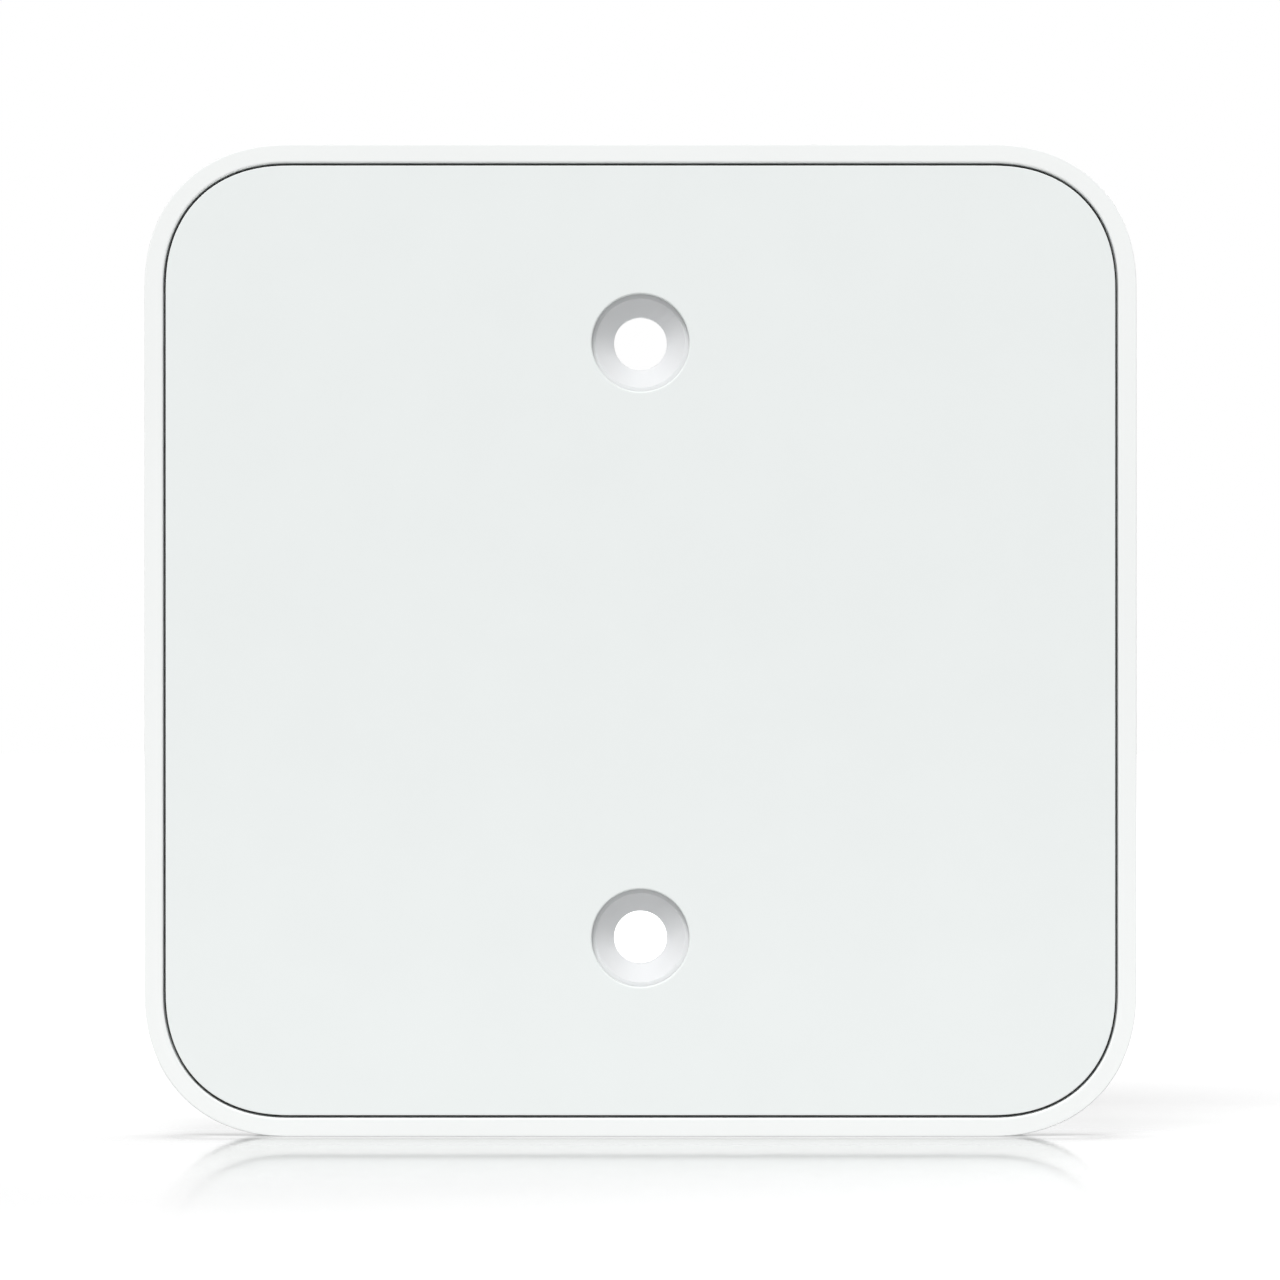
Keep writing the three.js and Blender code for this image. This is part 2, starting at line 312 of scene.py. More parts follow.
class ShellBuilder:
    """Builds one closed shell from rings of vertices, the strips between them and flat faces."""

    def __init__(self) -> None:
        """Starts with an empty mesh."""
        self.mesh = bmesh.new()

    def ring(self, outline: Outline, depth: float) -> Ring:
        """Adds an outline's vertices at one depth."""
        return [self.mesh.verts.new((x, depth, z)) for x, z in outline]

    def sleeve(self, rings: list[Ring]) -> list[Ring]:
        """Joins rings in their order with four-sided faces.

        Args:
            rings: Rings of equal length.

        Returns:
            The same rings, so that the first and the last can bound flat faces.
        """
        for first, second in zip(rings, rings[1:]):
            count = len(first)
            for index in range(count):
                follow = (index + 1) % count
                self.mesh.faces.new((first[index], first[follow], second[follow], second[index]))
        return rings

    def wall(self, path: Iterable[Point], outline: Callable[[float], Outline]) -> list[Ring]:
        """Sweeps a section along an outline.

        Args:
            path: The section's (across, depth) points.
            outline: Gives the outline for one value of across.

        Returns:
            The wall's rings, one for each point of the path.
        """
        return self.sleeve([self.ring(outline(across), depth) for across, depth in path])

    def holes(
        self, path: Sequence[Point], radius: float, places: Sequence[Point], segments: int = 72
    ) -> list[list[Ring]]:
        """Adds the walls of round holes.

        Args:
            path: Their section, whose across is measured outwards from the radius.
            radius: The holes' radius.
            places: The (x, z) of each hole.
            segments: Sides of each hole.

        Returns:
            The rings of each hole, from the front to the back.
        """
        return [
            self.wall(path, lambda across, at=place: circle(radius + across, at, segments))
            for place in places
        ]

    def flat(self, *rings: Ring) -> None:
        """Fills the plane inside the first ring and outside the others.

        Args:
            rings: The outer boundary, and then the holes in it.
        """
        edges = []
        for ring in rings:
            for index, vertex in enumerate(ring):
                pair = (vertex, ring[(index + 1) % len(ring)])
                edges.append(self.mesh.edges.get(pair) or self.mesh.edges.new(pair))
        bmesh.ops.triangle_fill(self.mesh, edges=edges, use_beauty=True)

    def ends(self, rings: list[Ring], holes: Sequence[list[Ring]] = ()) -> None:
        """Closes a wall with a flat face inside its first ring and one inside its last.

        Args:
            rings: The wall's rings.
            holes: The rings of each hole that goes through both faces.
        """
        for end in (0, -1):
            self.flat(rings[end], *[hole[end] for hole in holes])

    def turned(self, path: Sequence[Point], segments: int = 64) -> None:
        """Adds a solid of revolution about the origin's Y axis.

        Args:
            path: The (radius, depth) points, which start and end on the axis.
            segments: Sides of each ring.
        """
        rings = self.wall(path[1:-1], lambda radius: circle(radius, segments=segments))
        self.cap(rings[0], path[0][1])
        self.cap(rings[-1], path[-1][1])

    def cap(self, ring: Ring, depth: float) -> None:
        """Closes a ring with triangles to a point on the Y axis.

        Args:
            ring: The ring.
            depth: Depth of the point.
        """
        pole = self.mesh.verts.new((0.0, depth, 0.0))
        for index, vertex in enumerate(ring):
            self.mesh.faces.new((vertex, ring[(index + 1) % len(ring)], pole))

    def finish(self, name: str) -> bpy.types.Object:
        """Turns the shell's faces outwards and makes it an object.

        Args:
            name: The object's name.

        Returns:
            The object, at the origin.
        """
        clean(self.mesh)
        data = bpy.data.meshes.new(name)
        self.mesh.to_mesh(data)
        self.mesh.free()
        return put_in_scene(name, data)


def take_result(piece: bpy.types.Object) -> bpy.types.Object:
    """Makes what a piece's modifiers give its plain mesh, and removes them.

    Args:
        piece: The object with its modifiers.

    Returns:
        The same object.
    """
    bpy.context.view_layer.update()
    graph = bpy.context.evaluated_depsgraph_get()
    result = bpy.data.meshes.new_from_object(piece.evaluated_get(graph))
    piece.modifiers.clear()
    former = piece.data
    result.name = piece.name
    piece.data = result
    if former.users == 0:
        bpy.data.meshes.remove(former)
    return piece


def combine(piece: bpy.types.Object, other: bpy.types.Object, how: Cut) -> None:
    """Joins one solid to another or cuts it away, and uses the other up.

    Args:
        piece: The solid that changes.
        other: The solid that is joined or cut away.
        how: Which of the two is done.
    """
    modifier = piece.modifiers.new(how.name, "BOOLEAN")
    modifier.operation = how.value
    modifier.solver = "MANIFOLD"
    modifier.object = other
    take_result(piece)
    bpy.data.objects.remove(other)


def smooth(piece: bpy.types.Object) -> None:
    """Shades a piece smooth, except across edges that turn by more than 32 degrees."""
    piece.data.shade_smooth()
    piece.data.set_sharp_from_angle(angle=math.radians(32.0))


def face(node: str, end: int, axis: int = 1) -> float:
    """Where a node of the frame ends.

    Args:
        node: The node's name.
        end: 0 for its low end, 1 for its high end.
        axis: 0, 1 or 2 for X, Y or Z.

    Returns:
        The coordinate, in metres.
    """
    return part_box(node)[end][axis]


def middle(node: str) -> Point:
    """The (x, z) of the middle of a node of the frame."""
    low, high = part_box(node)
    return (low.x + high.x) / 2, (low.z + high.z) / 2


# ---- Nodes ----


class NodeWriter:
    """Adds nodes to a tree, each with its settings and what feeds it."""

    def __init__(self, tree: bpy.types.NodeTree) -> None:
        """Takes the tree that is written."""
        self.tree = tree

    def node(
        self, kind: str, feeds: dict[str | int, object] | None = None, **settings: object
    ) -> bpy.types.Node:
        """Adds a node.

        Args:
            kind: The node's type.
            feeds: For each of its inputs, the socket that feeds it or its value.
            settings: The node's own properties.

        Returns:
            The node.
        """
        made = self.tree.nodes.new(kind)
        for key, value in settings.items():
            setattr(made, key, value)
        for key, value in (feeds or {}).items():
            if isinstance(value, bpy.types.NodeSocket):
                self.tree.links.new(value, made.inputs[key])
            else:
                made.inputs[key].default_value = value
        return made

    def math(self, operation: str, *values: Socket | float) -> Socket:
        """Adds a sum of one to three values, and gives its result."""
        return self.node("ShaderNodeMath", dict(enumerate(values)), operation=operation).outputs[0]


# ---- Geometry Nodes ----


class TreeBuilder(NodeWriter):
    """Builds one Geometry Nodes tree whose last steps realize the copies and set the finish."""

    def __init__(self, name: str, inputs: dict[str, str]) -> None:
        """Starts a tree.

        Args:
            name: The tree's name.
            inputs: Each named input and its kind of socket, such as Float.
        """
        super().__init__(bpy.data.node_groups.new(name, "GeometryNodeTree"))
        interface = self.tree.interface
        interface.new_socket(name="Geometry", in_out="OUTPUT", socket_type="NodeSocketGeometry")
        interface.new_socket(name="Geometry", in_out="INPUT", socket_type="NodeSocketGeometry")
        for label, kind in (inputs | {"Finish": "Material"}).items():
            interface.new_socket(name=label, in_out="INPUT", socket_type=f"NodeSocket{kind}")
        self.inputs = self.tree.nodes.new("NodeGroupInput").outputs

    def finish(self, geometry: Socket) -> bpy.types.GeometryNodeTree:
        """Realizes the copies, sets the finish and ends the tree.

        Args:
            geometry: What the tree has made.

        Returns:
            The tree.
        """
        whole = self.node("GeometryNodeRealizeInstances", {"Geometry": geometry})
        feeds = {"Geometry": whole.outputs["Geometry"], "Material": self.inputs["Finish"]}
        dressed = self.node("GeometryNodeSetMaterial", feeds)
        self.node("NodeGroupOutput", {"Geometry": dressed.outputs["Geometry"]})
        return self.tree


def run_tree(
    piece: bpy.types.Object, tree: bpy.types.GeometryNodeTree, values: dict[str, object]
) -> bpy.types.Object:
    """Runs a tree on a piece and keeps its result as a plain mesh.

    Args:
        piece: The object whose mesh the tree starts from.
        tree: The Geometry Nodes tree.
        values: The value of each named input.

    Returns:
        The same object.
    """
    modifier = piece.modifiers.new(tree.name, "NODES")
    modifier.node_group = tree
    for item in tree.interface.items_tree:
        if item.in_out == "INPUT" and item.name in values:
            modifier[item.identifier] = values[item.name]
    return take_result(piece)


def sweep_tree() -> bpy.types.GeometryNodeTree:
    """Builds the tree that sweeps a closed section round a square with superellipse corners.

    The section lies in the XY plane: X runs outwards from the outline, and Y is the depth.

    Returns:
        The tree, with the inputs Half Width, Corner Reach, Corner Power, Points and Finish.
    """
    build = TreeBuilder(
        "sweep_round_soft_square",
        {"Half Width": "Float", "Corner Reach": "Float", "Corner Power": "Float", "Points": "Int"},
    )
    given = build.inputs
    section = build.node("GeometryNodeMeshToCurve", {"Mesh": given["Geometry"]})
    ring = build.node("GeometryNodeCurvePrimitiveCircle", {"Resolution": given["Points"], "Radius": 1.0})
    half_step = build.math("DIVIDE", math.pi, given["Points"])
    turn = build.node("ShaderNodeCombineXYZ", {"Z": half_step})
    turned = build.node(
        "GeometryNodeTransform",
        {"Geometry": ring.outputs["Curve"], "Rotation": turn.outputs["Vector"]},
    )
    position = build.node("GeometryNodeInputPosition").outputs["Position"]
    on_circle = build.node("ShaderNodeSeparateXYZ", {"Vector": position})
    exponent = build.math("DIVIDE", 2.0, given["Corner Power"])
    straight = build.math("SUBTRACT", given["Half Width"], given["Corner Reach"])
    soft = {}
    for axis in ("X", "Y"):
        value = on_circle.outputs[axis]
        curved = build.math("POWER", build.math("ABSOLUTE", value), exponent)
        length = build.math("MULTIPLY_ADD", curved, given["Corner Reach"], straight)
        soft[axis] = build.math("MULTIPLY", length, build.math("SIGN", value))
    placed = build.node("ShaderNodeCombineXYZ", soft)
    outline = build.node(
        "GeometryNodeSetPosition",
        {"Geometry": turned.outputs["Geometry"], "Position": placed.outputs["Vector"]},
    )
    upright = build.node("GeometryNodeSetCurveNormal", {"Curve": outline.outputs["Geometry"]}, mode="Z_UP")
    swept = build.node(
        "GeometryNodeCurveToMesh",
        {"Curve": upright.outputs["Curve"], "Profile Curve": section.outputs["Curve"]},
    )
    standing = build.node(
        "GeometryNodeTransform",
        {"Geometry": swept.outputs["Mesh"], "Rotation": (math.pi / 2, 0.0, 0.0)},
    )
    return build.finish(standing.outputs["Geometry"])


def placing_tree() -> bpy.types.GeometryNodeTree:
    """Builds the tree that puts a copy of a piece at each vertex, turned about its own axis.

    Returns:
        The tree, with the inputs Copy, Most Turn, Seed and Finish.
    """
    build = TreeBuilder("place_copies", {"Copy": "Object", "Most Turn": "Float", "Seed": "Int"})
    given = build.inputs
    copy = build.node("GeometryNodeObjectInfo", {"Object": given["Copy"], "As Instance": True})
    turn = build.node(
        "FunctionNodeRandomValue",
        {"Max": given["Most Turn"], "Seed": given["Seed"]},
        data_type="FLOAT",
    )
    about = build.node("ShaderNodeCombineXYZ", {"Y": turn.outputs["Value"]})
    placed = build.node(
        "GeometryNodeInstanceOnPoints",
        {
            "Points": given["Geometry"],
            "Instance": copy.outputs["Geometry"],
            "Rotation": about.outputs["Vector"],
        },
    )
    return build.finish(placed.outputs["Instances"])


def foam_tree() -> bpy.types.GeometryNodeTree:
    """Builds the tree that sinks open pores and a slight unevenness into a foam's surface.

    Returns:
        The tree, with the inputs Pore Size, Pore Depth, Unevenness and Finish.
    """
    build = TreeBuilder(
        "foam_surface", {"Pore Size": "Float", "Pore Depth": "Float", "Unevenness": "Float"}
    )
    given = build.inputs
    density = build.math("DIVIDE", 1.0, given["Pore Size"])
    position = build.node("GeometryNodeInputPosition").outputs["Position"]
    pores = build.node(
        "ShaderNodeTexVoronoi", {"Vector": position, "Scale": density}, feature="F1"
    )
    open_pore = build.node(
        "ShaderNodeMapRange",
        {"Value": pores.outputs["Distance"], "From Min": 0.46, "From Max": 0.2},
        interpolation_type="SMOOTHSTEP",
    )
    uneven = build.node(
        "ShaderNodeTexNoise",
        {"Vector": position, "Scale": build.math("MULTIPLY", density, 0.22), "Detail": 1.0},
    )
    sunk = build.math("MULTIPLY", open_pore.outputs["Result"], given["Pore Depth"])
    inwards = build.math("MULTIPLY_ADD", uneven.outputs["Fac"], given["Unevenness"], sunk)
    move = build.node(
        "ShaderNodeVectorMath",
        {
            0: build.node("GeometryNodeInputNormal").outputs["Normal"],
            "Scale": build.math("MULTIPLY", inwards, -1.0),
        },
        operation="SCALE",
    )
    shaped = build.node(
        "GeometryNodeSetPosition",
        {"Geometry": given["Geometry"], "Offset": move.outputs["Vector"]},
    )
    return build.finish(shaped.outputs["Geometry"])


def copies(
    name: str,
    unit: bpy.types.Object,
    places: Sequence[Point],
    finish: bpy.types.Material | None = None,
    most_turn: float = 0.0,
    seed: int = 0,
) -> bpy.types.Object:
    """Puts a copy of a piece at each place, as one mesh, and uses the piece up.

    Args:
        name: The name of what is made.
        unit: The piece, modelled about the origin's Y axis.
        places: The (x, z) of each copy.
        finish: The finish of the copies.
        most_turn: The largest turn of a copy about its own axis, in radians.
        seed: The seed of the turns.

    Returns:
        The object with all the copies.
    """
    made = mesh_object(name, [(x, 0.0, z) for x, z in places])
    values = {"Copy": unit, "Most Turn": most_turn, "Seed": seed}
    if finish:
        values["Finish"] = finish
    run_tree(made, placing_tree(), values)
    bpy.data.objects.remove(unit)
    return made


# ---- Finishes ----


class FinishGraph(NodeWriter):
    """The nodes of one finish, read at real scale from the piece's own coordinates."""

    def __init__(self, name: str) -> None:
        """Starts a finish with a Principled shader.

        Args:
            name: The material's name.
        """
        self.material = bpy.data.materials.new(name)
        self.material.use_nodes = True
        super().__init__(self.material.node_tree)
        self.shader = self.tree.nodes["Principled BSDF"]
        self.place = self.tree.nodes.new("ShaderNodeTexCoord").outputs["Object"]
        self.normal: Socket | None = None

    def noise(
        self, size: float, detail: float = 3.0, stretch: Sequence[float] = (1.0, 1.0, 1.0)
    ) -> Socket:
        """Adds a noise pattern.

        Args:
            size: The size of its larger features, in metres.
            detail: How many finer layers it has.
            stretch: How much the features are squeezed along each axis.

        Returns:
            Its value, from 0 to 1.
        """
        placed = self.node("ShaderNodeMapping", {"Vector": self.place, "Scale": stretch})
        feeds = {"Vector": placed.outputs["Vector"], "Scale": 1 / size, "Detail": detail}
        return self.node("ShaderNodeTexNoise", feeds).outputs["Fac"]

    def cells(self, size: float) -> Socket:
        """Adds a pattern of cells of one size, and gives the distance from their middles."""
        feeds = {"Vector": self.place, "Scale": 1 / size}
        return self.node("ShaderNodeTexVoronoi", feeds, feature="F1").outputs["Distance"]

    def spread(self, value: Socket, low: float, high: float, span: Point = (0.3, 0.7)) -> Socket:
        """Maps a pattern to a range.

        Args:
            value: The pattern.
            low: The result at the start of its span.
            high: The result at the end of its span.
            span: The part of the pattern's own range that is used.

        Returns:
            The mapped value.
        """
        feeds = {"Value": value, "From Min": span[0], "From Max": span[1], "To Min": low, "To Max": high}
        return self.node("ShaderNodeMapRange", feeds).outputs["Result"]

    def curve(self, value: Socket, stops: Sequence[Point]) -> Socket:
        """Maps a value from 0 to 1 through stops, in straight lines between them.

        Args:
            value: The value.
            stops: Each stop as (value, result).

        Returns:
            The mapped value.
        """
        node = self.node("ShaderNodeValToRGB", {"Fac": value})
        ramp = node.color_ramp
        while len(ramp.elements) < len(stops):
            ramp.elements.new(0.5)
        for element, (position, result) in zip(ramp.elements, stops):
            element.position = position
            element.color = (result, result, result, 1.0)
        return node.outputs["Color"]

    def tint(self, value: Socket, first: Sequence[float], second: Sequence[float]) -> Socket:
        """Mixes two colours by a pattern.

        Args:
            value: The pattern.
            first: The colour where it is 0, as linear values.
            second: The colour where it is 1.

        Returns:
            The mixed colour.
        """
        mixed = self.node("ShaderNodeMix", data_type="RGBA", clamp_factor=True)
        colours = [socket for socket in mixed.inputs if socket.type == "RGBA"]
        for socket, colour in zip(colours, (first, second)):
            socket.default_value = (*colour, 1.0)
        self.tree.links.new(value, mixed.inputs["Factor"])
        return next(out for out in mixed.outputs if out.type == "RGBA")

    def relief(self, height: Socket, depth: float) -> None:
        """Adds a pattern to the surface's relief, over what is there already.

        Args:
            height: The pattern.
            depth: How high the surface rises where the pattern is 1.
        """
        feeds = {"Height": height, "Distance": depth, "Strength": 1.0}
        if self.normal:
            feeds["Normal"] = self.normal
        self.normal = self.node("ShaderNodeBump", feeds).outputs["Normal"]

    def finish(
        self, colour: Socket, roughness: Socket, settings: dict[str, float]
    ) -> bpy.types.Material:
        """Connects the patterns to the shader.

        Args:
            colour: The surface's colour.
            roughness: Its roughness.
            settings: Values set on the shader's own sockets.

        Returns:
            The material.
        """
        for key, value in settings.items():
            self.shader.inputs[key].default_value = value
        self.tree.links.new(colour, self.shader.inputs["Base Color"])
        self.tree.links.new(roughness, self.shader.inputs["Roughness"])
        if self.normal:
            self.tree.links.new(self.normal, self.shader.inputs["Normal"])
        return self.material


@dataclass(frozen=True)
class Finish:
    """What every finish has: a name, and a way to build its material.

    Colours are linear values, and sizes are those of the patterns' larger features.

    Attributes:
        name: The material's name.
    """

    name: str

    def material(self) -> bpy.types.Material:
        """Builds the finish."""
        raise NotImplementedError


@dataclass(frozen=True)
class MouldedWhite(Finish):
    """White moulded plastic with a fine spark-eroded texture from its mould.

    Attributes:
        colour: Its colour.
        grain: Size of the texture's grain.
        grain_depth: Height of the grain.
        flow: Size of the faint clouds that the melt leaves.
        shade: How light these are, as a share of the colour.
    """

    name: str = "moulded_white_plastic"
    colour: Colour = (0.916, 0.934, 0.926)
    grain: float = 0.16 * MM
    grain_depth: float = 0.0012 * MM
    flow: float = 30 * MM
    shade: float = 0.985

    def material(self) -> bpy.types.Material:
        """Builds the finish.

        Returns:
            The material.
        """
        graph = FinishGraph(self.name)
        deeper = [value * self.shade for value in self.colour]
        flow = graph.spread(graph.noise(self.flow, 2.0), 0.0, 1.0)
        grain = graph.noise(self.grain, 3.0)
        graph.relief(grain, self.grain_depth)
        graph.relief(graph.noise(6 * self.grain, 2.0), 1.5 * self.grain_depth)
        roughness = graph.spread(graph.noise(4 * MM, 4.0), 0.40, 0.50)
        return graph.finish(graph.tint(flow, self.colour, deeper), roughness, {"IOR": 1.49})


@dataclass(frozen=True)
class PaleSilicone(Finish):
    """Matt pale silicone rubber with a faint bloom and a very fine velvet texture.

    Attributes:
        colour: Its colour.
        bloom: Size of the bloom's patches.
        velvet: Size of the velvet's grain.
        velvet_depth: Height of that grain.
        shade: How light the patches are, as a share of the colour.
    """

    name: str = "pale_silicone_rubber"
    colour: Colour = (0.857, 0.89, 0.882)
    bloom: float = 9 * MM
    velvet: float = 0.11 * MM
    velvet_depth: float = 0.0014 * MM
    shade: float = 0.988

    def material(self) -> bpy.types.Material:
        """Builds the finish.

        Returns:
            The material.
        """
        graph = FinishGraph(self.name)
        deeper = [value * self.shade for value in self.colour]
        bloom = graph.spread(graph.noise(self.bloom, 5.0), 0.0, 1.0)
        graph.relief(graph.noise(self.velvet, 2.0), self.velvet_depth)
        roughness = graph.spread(graph.noise(2 * MM, 4.0), 0.60, 0.70)
        settings = {"IOR": 1.41, "Sheen Weight": 0.04, "Sheen Roughness": 0.5}
        return graph.finish(graph.tint(bloom, self.colour, deeper), roughness, settings)


@dataclass(frozen=True)
class BlackFilm(Finish):
    """Black adhesive film with a fine stipple, whose black is also painted shade at the bottom of the seam
    round the pad.

    Attributes:
        colour: Its colour in the stipple's dots.
        stipple: Size of the dots.
        lift: How much lighter it is between them.
    """

    name: str = "black_adhesive_film"
    colour: Colour = (0.011, 0.012, 0.0115)
    stipple: float = 0.3 * MM
    lift: float = 1.5

    def material(self) -> bpy.types.Material:
        """Builds the finish.

        Returns:
            The material.
        """
        graph = FinishGraph(self.name)
        lighter = [value * self.lift for value in self.colour]
        stipple = graph.cells(self.stipple)
        graph.relief(stipple, 0.004 * MM)
        roughness = graph.spread(graph.noise(3 * MM), 0.5, 0.68)
        return graph.finish(graph.tint(stipple, self.colour, lighter), roughness, {"IOR": 1.5})


@dataclass(frozen=True)
class ZincSteel(Finish):
    """Pressed zinc-plated sheet with rolling lines and a cloudy passivated surface.

    Attributes:
        bright: Its colour where it is brightest.
        dull: Its colour where it is dullest.
        streak: Width of the rolling lines.
        streak_length: Their length, as a multiple of their width.
        cloud: Size of the clouds.
        rolled_share: How much the rolling lines add to the clouds.
    """

    name: str = "zinc_plated_sheet"
    bright: Colour = (0.56, 0.578, 0.595)
    dull: Colour = (0.42, 0.434, 0.447)
    streak: float = 0.25 * MM
    streak_length: float = 40.0
    cloud: float = 11 * MM
    rolled_share: float = 0.35

    def material(self) -> bpy.types.Material:
        """Builds the finish.

        Returns:
            The material.
        """
        graph = FinishGraph(self.name)
        rolled = graph.noise(self.streak, 4.0, (1.0, 1.0, 1 / self.streak_length))
        cloud = graph.noise(self.cloud, 5.0)
        mixed = graph.math("MULTIPLY_ADD", rolled, self.rolled_share, cloud)
        tone = graph.spread(mixed, 0.0, 1.0, (0.5, 0.85))
        graph.relief(rolled, 0.0022 * MM)
        graph.relief(graph.noise(0.08 * MM, 2.0), 0.0008 * MM)
        roughness = graph.spread(mixed, 0.27, 0.43, (0.45, 0.9))
        return graph.finish(graph.tint(tone, self.bright, self.dull), roughness, {"Metallic": 1.0})


@dataclass(frozen=True)
class Nickel(Finish):
    """Bright nickel plating with faint handling scratches.

    Attributes:
        bright: Its colour where it is untouched.
        dull: Its colour where it is scratched.
        scratch: Width of the scratches.
    """

    name: str = "nickel_plating"
    bright: Colour = (0.74, 0.71, 0.66)
    dull: Colour = (0.64, 0.61, 0.56)
    scratch: float = 0.12 * MM

    def material(self) -> bpy.types.Material:
        """Builds the finish.

        Returns:
            The material.
        """
        graph = FinishGraph(self.name)
        scratches = graph.noise(self.scratch, 3.0, (1.0, 1.0, 0.04))
        crossing = graph.noise(self.scratch, 3.0, (0.05, 1.0, 1.0))
        both = graph.math("MULTIPLY", scratches, crossing)
        worn = graph.spread(both, 0.0, 1.0, (0.2, 0.42))
        graph.relief(both, 0.001 * MM)
        roughness = graph.spread(graph.noise(1.5 * MM, 4.0), 0.13, 0.26)
        return graph.finish(graph.tint(worn, self.bright, self.dull), roughness, {"Metallic": 1.0})


@dataclass(frozen=True)
class ScrewSteel(Finish):
    """Zinc-plated screw steel, rubbed brighter where a driver and packing have touched it.

    Attributes:
        plated: The plating's colour.
        rubbed: Its colour where it is rubbed.
        speckle: Size of the plating's speckle.
    """

    name: str = "screw_steel"
    plated: Colour = (0.38, 0.39, 0.41)
    rubbed: Colour = (0.60, 0.60, 0.61)
    speckle: float = 0.22 * MM

    def material(self) -> bpy.types.Material:
        """Builds the finish.

        Returns:
            The material.
        """
        graph = FinishGraph(self.name)
        rubbed = graph.spread(graph.noise(1.1 * MM, 5.0), 0.0, 1.0, (0.45, 0.7))
        graph.relief(graph.noise(self.speckle, 3.0), 0.002 * MM)
        roughness = graph.spread(graph.noise(self.speckle, 2.0), 0.24, 0.4)
        return graph.finish(graph.tint(rubbed, self.plated, self.rubbed), roughness, {"Metallic": 1.0})


@dataclass(frozen=True)
class GreyFoam(Finish):
    """Closed-cell grey foam, with painted shade in the hollows of its cut cells.

    Attributes:
        skin: Colour of the cells' walls.
        cell: Colour inside the cut cells, painted shade in these hollows.
        cell_size: Size of the cells.
    """

    name: str = "grey_foam"
    skin: Colour = (0.078, 0.083, 0.085)
    cell: Colour = (0.036, 0.039, 0.041)
    cell_size: float = 0.42 * MM

    def material(self) -> bpy.types.Material:
        """Builds the finish.

        Returns:
            The material.
        """
        graph = FinishGraph(self.name)
        cells = graph.cells(self.cell_size)
        # Painted shade: the cells' middles, which the relief below sinks, are darker than their walls.
        walls = graph.spread(cells, 0.0, 1.0, (0.15, 0.55))
        graph.relief(cells, 0.05 * MM)
        graph.relief(graph.noise(0.1 * MM, 3.0), 0.01 * MM)
        roughness = graph.spread(graph.noise(2 * MM, 3.0), 0.86, 0.97)
        settings = {"IOR": 1.4, "Sheen Weight": 0.12, "Sheen Roughness": 0.6}
        return graph.finish(graph.tint(walls, self.cell, self.skin), roughness, settings)


FINISHES = {
    Slot.WHITE_MOULDING: MouldedWhite(),
    Slot.PALE_SILICONE: PaleSilicone(),
    Slot.BLACK_FILM: BlackFilm(),
    Slot.ZINC_STEEL: ZincSteel(),
    Slot.NICKEL: Nickel(),
    Slot.SCREW_STEEL: ScrewSteel(),
    Slot.GREY_FOAM: GreyFoam(),
}
# A darker, faintly bluer copy of the white moulding: its darkness is painted shade in the tray's
# countersinks and other recesses.
TRAY_MOULDING_PAINTED_SHADE = MouldedWhite(
    name="moulded_tray_plastic", colour=(0.78, 0.788, 0.797), grain=0.22 * MM
)


@cache
def built(finish: Finish) -> bpy.types.Material:
    """Gives a finish's material, which is built the first time only."""
    return finish.material()


def finish_for(slot: Slot) -> bpy.types.Material:
    """Gives a slot's material."""
    return built(FINISHES[slot])


def dress(
    piece: bpy.types.Object, slot: Slot, *nodes: str, finish: Finish | None = None
) -> bpy.types.Object:
    """Gives a piece its finish and its place in the frame.

    Args:
        piece: The finished mesh object.
        slot: The record's slot that it takes its finish from.
        nodes: The nodes of the frame that it stands for.
        finish: A variant of the slot's finish for this piece alone, such as the tray's darker copy, which is
            painted shade.

    Returns:
        The same piece.
    """
    piece.data.materials.clear()
    piece.data.materials.append(built(finish or FINISHES[slot]))
    for polygon in piece.data.polygons:
        polygon.material_index = 0
    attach(piece, BODY)
    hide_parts(*nodes)
    LOG.info("%s: %d faces, stands for %s", piece.name, len(piece.data.polygons), ", ".join(nodes))
    return piece


# ---- Sub-assemblies ----

RIM_WIDTH = 2.0 * MM
SEAM = SoftSquare(half=face("rim_frame", 1, 0) - RIM_WIDTH)
SCREW_HEIGHTS = (30 * MM, -30 * MM)
WALL_SCREWS = [(0.0, height) for height in SCREW_HEIGHTS]
MAGNET_NODES = [f"magnet_{number}" for number in range(1, 9)]
PLATE_SCREW_NODES = [f"plate_screw_{number}" for number in range(1, 7)]


